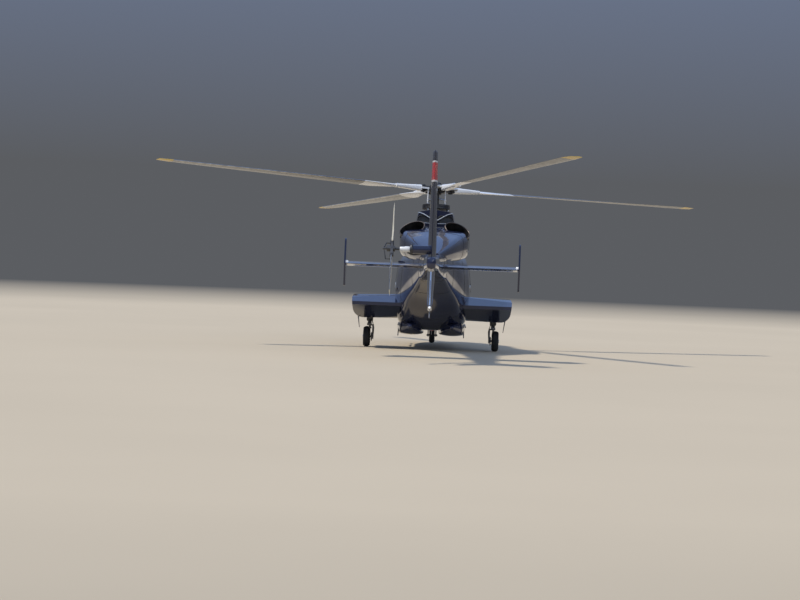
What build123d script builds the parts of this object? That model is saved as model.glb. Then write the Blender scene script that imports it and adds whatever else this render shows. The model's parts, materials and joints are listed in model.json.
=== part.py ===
"""Twin-engine helicopter parked on its wheels, in millimetres.

+X is the nose, +Y the left side, +Z up. The origin is on the ground below the middle of the whole
outline. Places along the aircraft are given as distances ahead of the rotor mast.
"""

import math
import os

from build123d import *

# Main rotor
ROTOR_RADIUS = 6400
ROTOR_PARK_DEG = 25.9
MAST_TILT_DEG = 5
HUB_HEIGHT = 3450
PRECONE_DEG = 0.9
BLADE_COUNT = 4
BLADE_CHORD = 360
BLADE_THICK = 42
BLADE_TWIST_DEG = 9
BLADE_ROOT = 1000
BLADE_TIP_LENGTH = 330
CUFF_ROOT = 400
CUFF_WIDTH = 190
CUFF_HEIGHT = 130
HUB_RADIUS = 150
HUB_HALF_HEIGHT = 85
HUB_ARM_WIDTH = 120
HUB_ARM_HEIGHT = 110
MAST_RADIUS = 60
MAST_DEPTH = 760
MAST_HOUSING_RADIUS = 95
MAST_HOUSING_TOP = 390
SWASH_RADIUS = 300
SWASH_THICK = 45
SWASH_GAP = 2
LINK_RADIUS = 12
LINK_CIRCLE = 265
LINK_LEAD_DEG = 20
HORN_WIDTH = 36
HORN_THICK = 36

# Tail rotor
TAIL_ROTOR_RADIUS = 1050
TAIL_ROTOR_AHEAD = -7850
TAIL_ROTOR_LEFT = 750
TAIL_ROTOR_HEIGHT = 2120
TAIL_ROTOR_PARK_DEG = 42
TAIL_BLADE_CHORD = 200
TAIL_BLADE_THICK = 24
TAIL_BLADE_ROOT = 150
TAIL_HUB_RADIUS = 55
TAIL_SHAFT_RADIUS = 24
TAIL_BOX_RADIUS = 85

# Tail surfaces
FIN_TOP = 3950
FIN_REAR = -8950
FIN_THICK_ROOT = 160
FIN_THICK_TIP = 90
VENTRAL_BOTTOM = 985
STABILIZER_AHEAD = -5300
STABILIZER_HALF_SPAN = 1680
STABILIZER_CHORD = 720
STABILIZER_THICK = 95
STABILIZER_HEIGHT = 1805
END_PLATE_THICK = 34

# Fuselage
WALL = 40
GLASS = 8
FAIRING_WALL = 25
BOOM_WALL = 10
FIN_WALL = 8
DOOR_GAP = 12
HINGE_PIN = 6
HINGE_EYE = 12
HINGE_GAP = 0.3
HINGE_KNUCKLE = 30
HINGE_LENGTH = 70
HINGE_PLATE = 45
BELLY_SPLIT = 570
ROOF_SPLIT = 1985
CABIN_FRONT = 2980
CABIN_REAR = -600
NOSE_FRAME = 3300
FLOOR_TOP = 640
FLOOR_THICK = 35
POST_HALF_WIDTH = 28
PANEL_THICK = 25

# Landing gear
MAIN_WHEEL_AHEAD = -400
MAIN_TRACK = 2770
MAIN_TYRE_RADIUS = 220
MAIN_TYRE_WIDTH = 150
NOSE_WHEEL_AHEAD = 3520
NOSE_TYRE_RADIUS = 180
NOSE_TYRE_WIDTH = 130
NOSE_TRAIL = 70
OLEO_RADIUS = 62
PISTON_RADIUS = 42
AXLE_RADIUS = 20
RUNNING_GAP = 0.5

# Sponsons
SPONSON_FRONT = 230
SPONSON_REAR = -1450
SPONSON_TOP = 1130
SPONSON_BOTTOM = 635
SPONSON_HALF_WIDTH = 1700

NOSE_BAY_AHEAD = (NOSE_WHEEL_AHEAD - 170, NOSE_WHEEL_AHEAD + 420)
NOSE_BAY_HALF = 150
NOSE_BAY_TOP = 760
NOSE_BAY_WALL = 20

FAR = 4000
FLATNESS = 0.001
FRONT_REACH = (
    ROTOR_RADIUS * math.cos(math.radians(ROTOR_PARK_DEG))
    + BLADE_CHORD / 2 * math.sin(math.radians(ROTOR_PARK_DEG))
)
MAST_X = (-FIN_REAR - FRONT_REACH) / 2

# Skin frames: ahead of the mast, half width, top, bottom, height of the widest point
HULL = [
    (4600, 50, 1135, 1035, 1080),
    (4520, 150, 1210, 935, 1075),
    (4380, 250, 1300, 840, 1072),
    (4150, 375, 1415, 715, 1070),
    (3800, 515, 1560, 595, 1078),
    (3300, 655, 1765, 485, 1100),
    (2850, 735, 2010, 430, 1125),
    (2450, 785, 2125, 405, 1145),
    (1700, 812, 2170, 400, 1150),
    (-300, 812, 2170, 400, 1150),
    (-900, 790, 2150, 430, 1170),
    (-1300, 715, 2135, 560, 1260),
    (-1700, 625, 2118, 790, 1400),
    (-2200, 480, 2098, 1120, 1580),
    (-3000, 300, 2060, 1470, 1765),
]
BOOM = [
    (-3000, 300, 2060, 1470, 1765),
    (-4500, 240, 2035, 1555, 1800),
    (-6200, 185, 2018, 1645, 1832),
    (-7500, 150, 2012, 1710, 1860),
    (-8120, 90, 1995, 1768, 1882),
]
PYLON = [
    (2150, 250, 2230, 1990, 2080),
    (1650, 390, 2430, 1990, 2150),
    (1000, 455, 2690, 1990, 2230),
    (350, 475, 2935, 1990, 2300),
    (-200, 465, 2990, 1990, 2330),
    (-750, 430, 2990, 1990, 2330),
]
COWL = [
    (520, 600, 2400, 1950, 2220),
    (250, 700, 2550, 1950, 2270),
    (-600, 745, 2640, 1930, 2300),
    (-1500, 735, 2620, 1900, 2290),
    (-2300, 540, 2450, 1880, 2190),
    (-3500, 120, 2075, 1880, 1985),
]
BELLY_LOBE = [
    (450, 60, 430, 370, 400),
    (150, 220, 560, 325, 440),
    (-500, 290, 600, 300, 450),
    (-1050, 230, 620, 330, 460),
    (-1350, 60, 560, 440, 500),
]
BELLY_LOBE_LEFT = 440

CROWN_DEG = 12
SIDE_DEG = 78
CORNER_SHARE = 0.45
UPRIGHT_SHARE = 0.08
FRAME_TURNS = (0, CROWN_DEG, 28.5, 45, 61.5, SIDE_DEG, 90)
# Upper side of a blade or fin section: share of the chord behind its nose, half height
AEROFOIL = [(0, 0), (0.02, 0.2), (0.1, 0.38), (0.3, 0.5), (0.6, 0.36), (1, 0.04)]
# The same of the hollow in a fin, before its wall is taken off
AEROFOIL_CORE = [(0.06, 0.29), (0.1, 0.38), (0.3, 0.5), (0.6, 0.36), (0.8, 0.2)]
PYLON_CORNER_SHARE = 0.25

# Side-view outlines: ahead of the mast, height
WINDSHIELD = [(3830, 1400), (3830, 2400), (2600, 2400), (2680, 2010), (3075, 1470), (3330, 1400)]
CREW_DOOR = [(2985, 665), (2985, 1470), (2640, 1950), (1840, 1950), (1840, 665)]
CREW_WINDOW = [(2880, 1225), (2880, 1440), (2580, 1860), (1930, 1860), (1930, 1225)]
CABIN_DOOR = [(1700, 665), (1700, 1950), (400, 1950), (400, 665)]
CABIN_WINDOW = [(1600, 1225), (1600, 1860), (500, 1860), (500, 1225)]
AFT_WINDOW = [(260, 1260), (260, 1850), (-330, 1820), (-430, 1260)]
BAGGAGE_DOOR = [(-720, 1230), (-720, 1830), (-1350, 1830), (-1350, 1230)]
CREW_HINGE_LEFT = 722
CABIN_HINGE_LEFT = 820
BAGGAGE_HINGE_LEFT = 745
SIDE_HINGE_HEIGHTS = (960, 1380)
BAGGAGE_HINGES_AHEAD = (-900, -1250)
OUTLINE_ROUND = 60
DOOR_ROUND = 70
ROOF_WINDOW_FRONT = 2330
ROOF_WINDOW_REAR = 1880
ROOF_WINDOW_INNER = 130
ROOF_WINDOW_OUTER = 560

os.makedirs("parts", exist_ok=True)


def st(ahead):
    return MAST_X + ahead


def write(piece, label):
    piece.label = label
    export_step(piece, f"parts/{label}.step")


def frame_arcs(half_width, height, corner_share):
    """Radii of crown, corner and side arcs that meet tangentially in one quarter of a frame."""
    a = math.radians(CROWN_DEG)
    b = math.radians(SIDE_DEG)
    corner = corner_share * min(half_width, height)
    across = half_width - corner * (math.sin(b) - math.sin(a))
    along = height - corner * (math.cos(a) - math.cos(b))
    m11, m12 = math.sin(a), 1 - math.sin(b)
    m21, m22 = 1 - math.cos(a), math.cos(b)
    det = m11 * m22 - m12 * m21
    crown = (across * m22 - m12 * along) / det
    side = (m11 * along - across * m21) / det
    return crown, corner, side


def frame_centres(half_width, height, corner_share):
    """Centres of the corner and side arcs, and of the crown, above the widest point."""
    a = math.radians(CROWN_DEG)
    crown, corner, side = frame_arcs(half_width, height, corner_share)
    crown_centre = (0, height - crown)
    corner_centre = (
        (crown - corner) * math.sin(a),
        crown_centre[1] + (crown - corner) * math.cos(a),
    )
    side_centre = (half_width - side, 0)
    return crown_centre, corner_centre, side_centre


def frame_quarter(half_width, height, corner_share):
    """Points of one quarter of a frame, from its crown round to its side, at FRAME_TURNS."""
    crown, corner, side = frame_arcs(half_width, height, corner_share)
    crown_centre, corner_centre, side_centre = frame_centres(half_width, height, corner_share)
    points = []
    for turn in FRAME_TURNS:
        centre, radius = (
            (crown_centre, crown) if turn <= CROWN_DEG else
            (corner_centre, corner) if turn <= SIDE_DEG else
            (side_centre, side)
        )
        angle = math.radians(turn)
        points.append(
            (centre[0] + radius * math.sin(angle), centre[1] + radius * math.cos(angle))
        )
    return points


def skin_frame(half_width, top, bottom, widest, corner_share):
    """One closed frame of a skin as (left, height) points, with a short upright on each side."""
    upright = UPRIGHT_SHARE * min(top - widest, widest - bottom)
    high = widest + upright
    low = widest - upright
    upper = frame_quarter(half_width, top - high, corner_share)
    lower = frame_quarter(half_width, low - bottom, corner_share)
    left_half = [(left, high + height) for left, height in upper]
    left_half += [(left, low - height) for left, height in reversed(lower)]
    right_half = [(-left, height) for left, height in reversed(left_half)]
    return left_half + right_half[1:-1]


def faceted(rings):
    """A closed solid with flat facets between neighbouring rings of points and flat ends.

    Frames of one skin have parallel sides, so their facets are flat; a twisted one is halved.
    """
    faces = [Face(Wire.make_polygon(ring)) for ring in (rings[0], rings[-1])]
    for near, far in zip(rings, rings[1:]):
        for i, here in enumerate(near):
            there = near[i - 1]
            across = (there - here).cross(far[i] - here).normalized()
            if abs(across.dot(far[i - 1] - here)) < FLATNESS:
                faces.append(Face(Wire.make_polygon([here, there, far[i - 1], far[i]])))
            else:
                faces.append(Face(Wire.make_polygon([here, there, far[i]])))
                faces.append(Face(Wire.make_polygon([there, far[i - 1], far[i]])))
    with BuildPart() as body:
        add(Solid(Shell(faces)))
    return body.part


def skin(stations, inset=0, end_inset=0, left=0, corner_share=CORNER_SHARE):
    """A body through the stations, drawn in by inset all round and end_inset at its ends."""
    last = len(stations) - 1
    rings = []
    for number, (ahead, half_width, top, bottom, widest) in enumerate(stations):
        shift = end_inset if number == last else -end_inset if number == 0 else 0
        frame = skin_frame(half_width - inset, top - inset, bottom + inset, widest, corner_share)
        rings.append([Vector(st(ahead + shift), left + y, z) for y, z in frame])
    return faceted(rings)


def block(ahead, left, height):
    """A plain box from its low and high limits ahead, to the left and in height."""
    with BuildPart() as solid:
        with Locations(
            (st(sum(ahead) / 2), sum(left) / 2, sum(height) / 2)
        ):
            Box(ahead[1] - ahead[0], left[1] - left[0], height[1] - height[0])
    return solid.part


def side_prism(points, round_radius, shrink=0, sides="both"):
    """A side-view outline run across the aircraft, or to its left half only."""
    with BuildPart() as prism:
        with BuildSketch(Plane.XZ) as outline:
            with BuildLine():
                Polyline(*[(st(ahead), height) for ahead, height in points], close=True)
            make_face()
            if shrink:
                offset(amount=-shrink, kind=Kind.INTERSECTION)
            if round_radius:
                fillet(outline.vertices(), round_radius)
        extrude(amount=-FAR, both=sides == "both")
    return prism.part


def mirrored(piece):
    with BuildPart() as other:
        mirror(piece, about=Plane.XZ)
    return other.part


def cut(piece, *tools):
    with BuildPart() as rest:
        add(piece)
        for tool in tools:
            add(tool, mode=Mode.SUBTRACT, clean=False)
    return rest.part


def common(piece, *tools):
    with BuildPart() as shared:
        add(piece)
        for tool in tools:
            add(tool, mode=Mode.INTERSECT, clean=False)
    return shared.part


def joined(*pieces):
    with BuildPart() as whole:
        for piece in pieces:
            add(piece)
    return whole.part


def skin_left(stations, ahead, height):
    """How far left a skin reaches at a place and height above its widest point or below it."""
    rear, front = next(
        (rear, front) for front, rear in zip(stations, stations[1:]) if rear[0] <= ahead
    )
    share = (ahead - rear[0]) / (front[0] - rear[0])
    frames = [skin_frame(*row[1:], CORNER_SHARE) for row in (rear, front)]
    half = [
        (a[0] + (b[0] - a[0]) * share, a[1] + (b[1] - a[1]) * share)
        for a, b in zip(*frames)
        if a[0] >= 0
    ]
    for (left, high), (next_left, low) in zip(half, half[1:]):
        if low <= height <= high:
            return left + (next_left - left) * (high - height) / (high - low)
    return 0


def hinge(plane, fixed_depth, moving_depth):
    """A pin in two fixed eyes, and the knuckle that turns on it.

    The plane's Z runs along the pin, its X to the fixed side and its Y out of the skin.
    """
    eye_length = (HINGE_LENGTH - HINGE_KNUCKLE) / 2 - HINGE_GAP
    eye_middle = (HINGE_LENGTH - eye_length) / 2
    low_corner = (Align.MIN, Align.MIN, Align.CENTER)
    high_corner = (Align.MAX, Align.MIN, Align.CENTER)
    with BuildPart() as fixed:
        with Locations(plane.location):
            Cylinder(HINGE_PIN, HINGE_LENGTH)
            with Locations((0, 0, -eye_middle), (0, 0, eye_middle)):
                Cylinder(HINGE_EYE, eye_length)
                with Locations((0, -fixed_depth, 0)):
                    Box(HINGE_PLATE, fixed_depth + 2, eye_length, align=low_corner)
    with BuildPart() as moving:
        with Locations(plane.location):
            Cylinder(HINGE_EYE, HINGE_KNUCKLE)
            with Locations((0, 2 * HINGE_GAP - HINGE_EYE / 2, 0)):
                Box(DOOR_GAP + 2, HINGE_EYE / 2, HINGE_KNUCKLE, align=high_corner)
            with Locations((-DOOR_GAP - 1, -moving_depth, 0)):
                Box(HINGE_PLATE, moving_depth, HINGE_KNUCKLE, align=high_corner)
            Cylinder(HINGE_PIN + HINGE_GAP, HINGE_LENGTH, mode=Mode.SUBTRACT)
    return fixed.part, moving.part


def side_hinges(ahead, left):
    """Both hinges of a side door at the front edge of its opening."""
    pairs = []
    for height in SIDE_HINGE_HEIGHTS:
        plane = Plane(origin=(st(ahead), left, height), x_dir=(1, 0, 0), z_dir=(0, 0, 1))
        fixed_skin = skin_left(HULL, ahead + HINGE_PLATE, height)
        moving_skin = skin_left(HULL, ahead - DOOR_GAP, height)
        pairs.append(
            hinge(plane, left - fixed_skin + WALL / 2, left - moving_skin + WALL / 2)
        )
    return [fixed for fixed, _ in pairs], [moving for _, moving in pairs]


def top_hinges(top):
    """Both hinges of the baggage door along the top edge of its opening."""
    pairs = []
    for ahead in BAGGAGE_HINGES_AHEAD:
        plane = Plane(
            origin=(st(ahead), BAGGAGE_HINGE_LEFT, top), x_dir=(0, 0, 1), z_dir=(-1, 0, 0)
        )
        fixed_skin = skin_left(HULL, ahead, top + HINGE_PLATE)
        moving_skin = skin_left(HULL, ahead, top - DOOR_GAP)
        pairs.append(
            hinge(
                plane,
                BAGGAGE_HINGE_LEFT - fixed_skin + WALL / 2,
                BAGGAGE_HINGE_LEFT - moving_skin + WALL / 2,
            )
        )
    return [fixed for fixed, _ in pairs], [moving for _, moving in pairs]


def aerofoil(plane, chord, thickness, pivot_share=0.25, outline=AEROFOIL, wall=0):
    """Points of a section with its nose ahead of the plane's origin and a thin blunt tail."""
    front = pivot_share * chord
    upper = [(front - share * chord, half * thickness - wall) for share, half in outline]
    lower = [(x, -y) for x, y in reversed(upper) if y]
    return [plane.from_local_coords(Vector(x, y, 0)) for x, y in upper + lower]


# Fuselage skins
hull_outer = skin(HULL)
hull_glass_line = skin(HULL, GLASS, GLASS)
hull_inner = skin(HULL, WALL, WALL)

windshield_cut = cut(
    side_prism(WINDSHIELD, OUTLINE_ROUND),
    block((0, FAR * 2), (-POST_HALF_WIDTH, POST_HALF_WIDTH), (0, FAR)),
)
roof_window_cut = block(
    (ROOF_WINDOW_REAR, ROOF_WINDOW_FRONT), (ROOF_WINDOW_INNER, ROOF_WINDOW_OUTER), (ROOF_SPLIT, FAR)
)
crew_door_cut = side_prism(CREW_DOOR, DOOR_ROUND, sides="left")
cabin_door_cut = side_prism(CABIN_DOOR, DOOR_ROUND, sides="left")
aft_window_cut = side_prism(AFT_WINDOW, OUTLINE_ROUND, sides="left")
baggage_door_cut = side_prism(BAGGAGE_DOOR, DOOR_ROUND, sides="left")
nose_bay_hollow = block(NOSE_BAY_AHEAD, (-NOSE_BAY_HALF, NOSE_BAY_HALF), (0, NOSE_BAY_TOP))


def panel(ahead, left, height, *openings):
    """A stretch of the skin at its full thickness, with its openings cut through."""
    return cut(common(hull_outer, block(ahead, left, height)), hull_inner, *openings)


CABIN = (CABIN_REAR, CABIN_FRONT)
WIDE = (-FAR, FAR)
nose_shell = panel((CABIN_FRONT, 2 * FAR), WIDE, (0, FAR), windshield_cut, nose_bay_hollow)
crew_eyes, crew_knuckles = side_hinges(CREW_DOOR[0][0], CREW_HINGE_LEFT)
cabin_eyes, cabin_knuckles = side_hinges(CABIN_DOOR[0][0], CABIN_HINGE_LEFT)
baggage_eyes, baggage_knuckles = top_hinges(BAGGAGE_DOOR[1][1])
write(joined(nose_shell, *crew_eyes, *[mirrored(eye) for eye in crew_eyes]), "nose_shell")
write(panel(CABIN, WIDE, (0, BELLY_SPLIT)), "belly_shell")
cabin_side = panel(
    CABIN,
    (0, FAR),
    (BELLY_SPLIT, ROOF_SPLIT),
    windshield_cut,
    crew_door_cut,
    cabin_door_cut,
    aft_window_cut,
)
cabin_side = joined(cabin_side, *cabin_eyes)
write(cabin_side, "cabin_side_left")
write(mirrored(cabin_side), "cabin_side_right")
cabin_roof = panel(
    CABIN, WIDE, (ROOF_SPLIT, FAR), windshield_cut, roof_window_cut, mirrored(roof_window_cut)
)
write(cabin_roof, "cabin_roof")
aft_fuselage = panel((-3 * FAR, CABIN_REAR), WIDE, (0, FAR), baggage_door_cut)
write(joined(aft_fuselage, *baggage_eyes), "aft_fuselage")


def pane(opening):
    """Glass that fills an opening, flush with the skin."""
    return cut(common(hull_outer, opening), hull_glass_line)


write(pane(windshield_cut), "windshield")
with BuildPart() as cabin_windows:
    for opening in (roof_window_cut, aft_window_cut):
        one_pane = pane(opening)
        add(one_pane)
        mirror(one_pane, about=Plane.XZ)
write(cabin_windows.part, "cabin_windows")


def door_leaf(outline, *openings):
    """A leaf of the left skin that stands clear of its opening all round."""
    leaf_prism = side_prism(outline, DOOR_ROUND - DOOR_GAP, shrink=DOOR_GAP, sides="left")
    return cut(common(hull_outer, leaf_prism), hull_inner, *openings)


# Doors: outline, window, hinge knuckles, node name
DOORS = [
    (CREW_DOOR, CREW_WINDOW, crew_knuckles, "crew_door"),
    (CABIN_DOOR, CABIN_WINDOW, cabin_knuckles, "cabin_door"),
]
for outline, window, knuckles, label in DOORS:
    window_cut = side_prism(window, OUTLINE_ROUND, sides="left")
    leaf = joined(door_leaf(outline, window_cut), *knuckles)
    door_glass = pane(window_cut)
    write(leaf, f"{label}_left")
    write(door_glass, f"{label}_glass_left")
    write(mirrored(leaf), f"{label}_right")
    write(mirrored(door_glass), f"{label}_glass_right")
write(joined(door_leaf(BAGGAGE_DOOR), *baggage_knuckles), "baggage_door")

# Cabin inside
floor_panel = common(
    hull_inner, block((CABIN_REAR, NOSE_FRAME), WIDE, (FLOOR_TOP - FLOOR_THICK, FLOOR_TOP))
)
write(floor_panel, "cabin_floor")
bulkheads = [
    common(hull_inner, block((CABIN_REAR - PANEL_THICK, CABIN_REAR), WIDE, (0, FAR))),
    common(hull_inner, block((NOSE_FRAME, NOSE_FRAME + PANEL_THICK), WIDE, (0, 1400))),
]
with BuildPart() as bulkhead_pair:
    for panel in bulkheads:
        add(panel)
write(bulkhead_pair.part, "bulkheads")

# Seats: ahead of the mast at the front of the cushion, left, facing (+1 forward)
CREW_SEATS = [(2280, 360, 1), (2280, -360, 1)]
CABIN_SEATS = [
    (60, 480, 1),
    (60, 0, 1),
    (60, -480, 1),
    (1120, 480, -1),
    (1120, 0, -1),
    (1120, -480, -1),
]
SEAT_WIDTH = 440
SEAT_DEPTH = 460
SEAT_CUSHION = 110
SEAT_BASE = 260
SEAT_BACK_HEIGHT = 640
SEAT_BACK_THICK = 110


def seat(front, left, facing):
    """A seat on its pedestal: base, cushion and upright back as one solid."""
    rear = front - facing * SEAT_DEPTH
    with BuildPart() as chair:
        with BuildSketch(Plane.XZ.offset(-left)):
            with BuildLine():
                Polyline(
                    (st(front), FLOOR_TOP + SEAT_BASE),
                    (st(front), FLOOR_TOP + SEAT_BASE + SEAT_CUSHION),
                    (st(rear + facing * SEAT_BACK_THICK), FLOOR_TOP + SEAT_BASE + SEAT_CUSHION),
                    (st(rear), FLOOR_TOP + SEAT_BASE + SEAT_BACK_HEIGHT),
                    (st(rear - facing * SEAT_BACK_THICK), FLOOR_TOP + SEAT_BASE + SEAT_BACK_HEIGHT),
                    (st(rear), FLOOR_TOP + SEAT_BASE),
                    close=True,
                )
            make_face()
        extrude(amount=SEAT_WIDTH / 2, both=True)
        with Locations(
            (st((front + rear) / 2), left, FLOOR_TOP + SEAT_BASE / 2)
        ):
            Box(SEAT_DEPTH - 120, SEAT_WIDTH - 120, SEAT_BASE)
    return chair.part


for seats, label in [(CREW_SEATS, "crew_seats"), (CABIN_SEATS, "cabin_seats")]:
    with BuildPart() as seat_row:
        for front, left, facing in seats:
            add(seat(front, left, facing))
    write(seat_row.part, label)

PANEL_FRONT = 3230
PANEL_REAR = 2960
PANEL_TOP = 1400
PEDESTAL_HALF = 120
with BuildPart() as instrument_panel:
    with BuildSketch(Plane.XZ):
        with BuildLine():
            Polyline(
                (st(PANEL_FRONT), FLOOR_TOP),
                (st(PANEL_FRONT), PANEL_TOP - 80),
                (st(PANEL_REAR), PANEL_TOP),
                (st(PANEL_REAR + 40), 1060),
                (st(PANEL_REAR - 100), 960),
                (st(2480), 900),
                (st(2480), FLOOR_TOP),
                close=True,
            )
        make_face()
    extrude(amount=PEDESTAL_HALF, both=True)
    with BuildSketch(Plane.XZ):
        with BuildLine():
            Polyline(
                (st(PANEL_FRONT), 1060),
                (st(PANEL_FRONT), PANEL_TOP - 80),
                (st(PANEL_REAR), PANEL_TOP),
                (st(PANEL_REAR + 40), 1060),
                close=True,
            )
        make_face()
    extrude(amount=470, both=True)
write(instrument_panel.part, "instrument_panel")

# Upper deck
boom_outer = skin(BOOM)
boom_inner = skin(BOOM, BOOM_WALL, BOOM_WALL)
pylon_outer = skin(PYLON, corner_share=PYLON_CORNER_SHARE)
pylon_inner = skin(PYLON, FAIRING_WALL, FAIRING_WALL, corner_share=PYLON_CORNER_SHARE)
cowl_outer = skin(COWL)
cowl_inner = skin(COWL, FAIRING_WALL, FAIRING_WALL)

ROTOR = Plane(
    origin=(st(0), 0, HUB_HEIGHT),
    x_dir=(math.cos(math.radians(MAST_TILT_DEG)), 0, -math.sin(math.radians(MAST_TILT_DEG))),
    z_dir=(math.sin(math.radians(MAST_TILT_DEG)), 0, math.cos(math.radians(MAST_TILT_DEG))),
)
MAST_HOLE = 160
with BuildPart() as mast_hole:
    with Locations(ROTOR.location):
        Cylinder(MAST_HOLE, 1200, align=(Align.CENTER, Align.CENTER, Align.MAX))

OUTLET_LEFT = 215
OUTLET_HALF = 165
OUTLET_LOW = 2795
with BuildPart() as outlet:
    with BuildSketch(Plane.YZ.offset(st(-900))) as arch:
        with Locations((OUTLET_LEFT, OUTLET_LOW)):
            SlotOverall(2 * OUTLET_HALF, 150)
    extrude(amount=400)
pylon_fairing = cut(
    pylon_outer, pylon_inner, hull_outer, mast_hole.part, outlet.part, mirrored(outlet.part)
)
write(pylon_fairing, "pylon_fairing")

# Exhausts
EXHAUST_AHEAD = -1720
EXHAUST_LEFT = 476
EXHAUST_HEIGHT = 2567
EXHAUST_HALF_WIDTH = 280
EXHAUST_HALF_HEIGHT = 200
EXHAUST_WALL = 14
EXHAUST_DEPTH = 420
EXHAUST_FACING = (-0.66, 0.2817, 0.6965)
EXHAUST_ACROSS = (0, 0.927, -0.375)
exhaust_plane = Plane(
    origin=(st(EXHAUST_AHEAD), EXHAUST_LEFT, EXHAUST_HEIGHT),
    x_dir=EXHAUST_ACROSS,
    z_dir=EXHAUST_FACING,
)
with BuildPart() as exhaust_solid:
    with BuildSketch(exhaust_plane):
        Ellipse(EXHAUST_HALF_WIDTH, EXHAUST_HALF_HEIGHT)
    extrude(amount=-EXHAUST_DEPTH)
with BuildPart() as exhaust_bore:
    with BuildSketch(exhaust_plane):
        Ellipse(EXHAUST_HALF_WIDTH - EXHAUST_WALL, EXHAUST_HALF_HEIGHT - EXHAUST_WALL)
    extrude(amount=-(EXHAUST_DEPTH - EXHAUST_WALL))
exhaust_left = cut(exhaust_solid.part, exhaust_bore.part, hull_outer)
with BuildPart() as exhausts:
    add(exhaust_left)
    mirror(exhaust_left, about=Plane.XZ)
write(exhausts.part, "exhausts")

INTAKE_LEFT = 560
INTAKE_HEIGHT = 2270
with BuildPart() as intake:
    with BuildSketch(Plane.YZ.offset(st(300))):
        with Locations((INTAKE_LEFT, INTAKE_HEIGHT)):
            Ellipse(80, 150)
    extrude(amount=400)
engine_cowling = cut(
    cowl_outer,
    cowl_inner,
    hull_outer,
    boom_outer,
    pylon_outer,
    exhaust_solid.part,
    mirrored(exhaust_solid.part),
    intake.part,
    mirrored(intake.part),
)
write(engine_cowling, "engine_cowling")

GEARBOX_TOP = 2750
gearbox_block = cut(block((-330, 330), (-260, 260), (1950, GEARBOX_TOP)), hull_outer)
with BuildPart() as gearbox:
    add(gearbox_block)
    with Locations(ROTOR.location * Location((0, 0, -MAST_HOUSING_TOP))):
        Cylinder(
            MAST_HOUSING_RADIUS,
            HUB_HEIGHT - GEARBOX_TOP - MAST_HOUSING_TOP + 60,
            align=(Align.CENTER, Align.CENTER, Align.MAX),
        )
    with Locations(ROTOR.location):
        Cylinder(
            MAST_RADIUS + RUNNING_GAP,
            MAST_DEPTH + 2,
            align=(Align.CENTER, Align.CENTER, Align.MAX),
            mode=Mode.SUBTRACT,
        )
write(gearbox.part, "main_gearbox")

engine = cut(
    block((-1480, -800), (190, 520), (1950, 2430)), hull_outer, exhaust_solid.part
)
with BuildPart() as engines:
    add(engine)
    mirror(engine, about=Plane.XZ)
write(engines.part, "engines")

with BuildPart() as swash_fixed:
    with Locations(ROTOR.location * Location((0, 0, -MAST_HOUSING_TOP - SWASH_GAP))):
        Cylinder(SWASH_RADIUS, SWASH_THICK, align=(Align.CENTER, Align.CENTER, Align.MAX))
        Cylinder(
            MAST_HOUSING_RADIUS,
            SWASH_THICK,
            align=(Align.CENTER, Align.CENTER, Align.MAX),
            mode=Mode.SUBTRACT,
        )
write(swash_fixed.part, "swashplate_fixed")

# Main rotor, drawn about the hub's centre with its axis along Z
with BuildPart() as mast:
    Cylinder(MAST_RADIUS, MAST_DEPTH, align=(Align.CENTER, Align.CENTER, Align.MAX))
    with Locations((0, 0, -MAST_HOUSING_TOP + SWASH_GAP)):
        Cylinder(SWASH_RADIUS, SWASH_THICK, align=(Align.CENTER, Align.CENTER, Align.MIN))
with BuildPart() as hub:
    Cylinder(HUB_RADIUS, 2 * HUB_HALF_HEIGHT)
    with Locations((0, 0, HUB_HALF_HEIGHT)):
        Cylinder(HUB_RADIUS * 0.6, 45, align=(Align.CENTER, Align.CENTER, Align.MIN))
    for number in range(BLADE_COUNT):
        with Locations(Rotation(0, 0, number * 360 / BLADE_COUNT) * Rotation(0, -PRECONE_DEG, 0)):
            Box(
                CUFF_ROOT,
                HUB_ARM_WIDTH,
                HUB_ARM_HEIGHT,
                align=(Align.MIN, Align.CENTER, Align.CENTER),
            )
    with Locations((0, 0, -HUB_HALF_HEIGHT)):
        Cylinder(
            MAST_RADIUS, 2 * HUB_HALF_HEIGHT, align=(Align.CENTER, Align.CENTER, Align.MIN),
            mode=Mode.SUBTRACT,
        )
LINK_AHEAD = LINK_CIRCLE * math.cos(math.radians(LINK_LEAD_DEG))
LINK_LEFT = LINK_CIRCLE * math.sin(math.radians(LINK_LEAD_DEG))
with BuildPart() as cuff:
    with BuildSketch(Plane.YZ.offset(CUFF_ROOT)):
        RectangleRounded(CUFF_WIDTH, CUFF_HEIGHT, 45)
    with BuildSketch(Plane.YZ.offset(BLADE_ROOT)):
        RectangleRounded(CUFF_WIDTH, 62, 28)
    loft()
    with Locations((LINK_AHEAD - HORN_WIDTH / 2, LINK_LEFT, 0)):
        Box(
            CUFF_ROOT - LINK_AHEAD + HORN_WIDTH,
            HORN_WIDTH,
            HORN_THICK,
            align=(Align.MIN, Align.CENTER, Align.CENTER),
        )
with BuildPart() as link:
    with Locations((LINK_AHEAD, LINK_LEFT, 0)):
        Cylinder(
            LINK_RADIUS,
            MAST_HOUSING_TOP - SWASH_GAP - SWASH_THICK,
            align=(Align.CENTER, Align.CENTER, Align.MAX),
        )

# Blade sections: distance out, chord, thickness, twist
BLADE = [
    (BLADE_ROOT, CUFF_WIDTH, 60, BLADE_TWIST_DEG),
    (BLADE_ROOT + 500, BLADE_CHORD, BLADE_THICK, BLADE_TWIST_DEG),
    (ROTOR_RADIUS - BLADE_TIP_LENGTH, BLADE_CHORD, 0.8 * BLADE_THICK, 0),
    (ROTOR_RADIUS, 0.68 * BLADE_CHORD, 0.45 * BLADE_THICK, 0),
]


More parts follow.
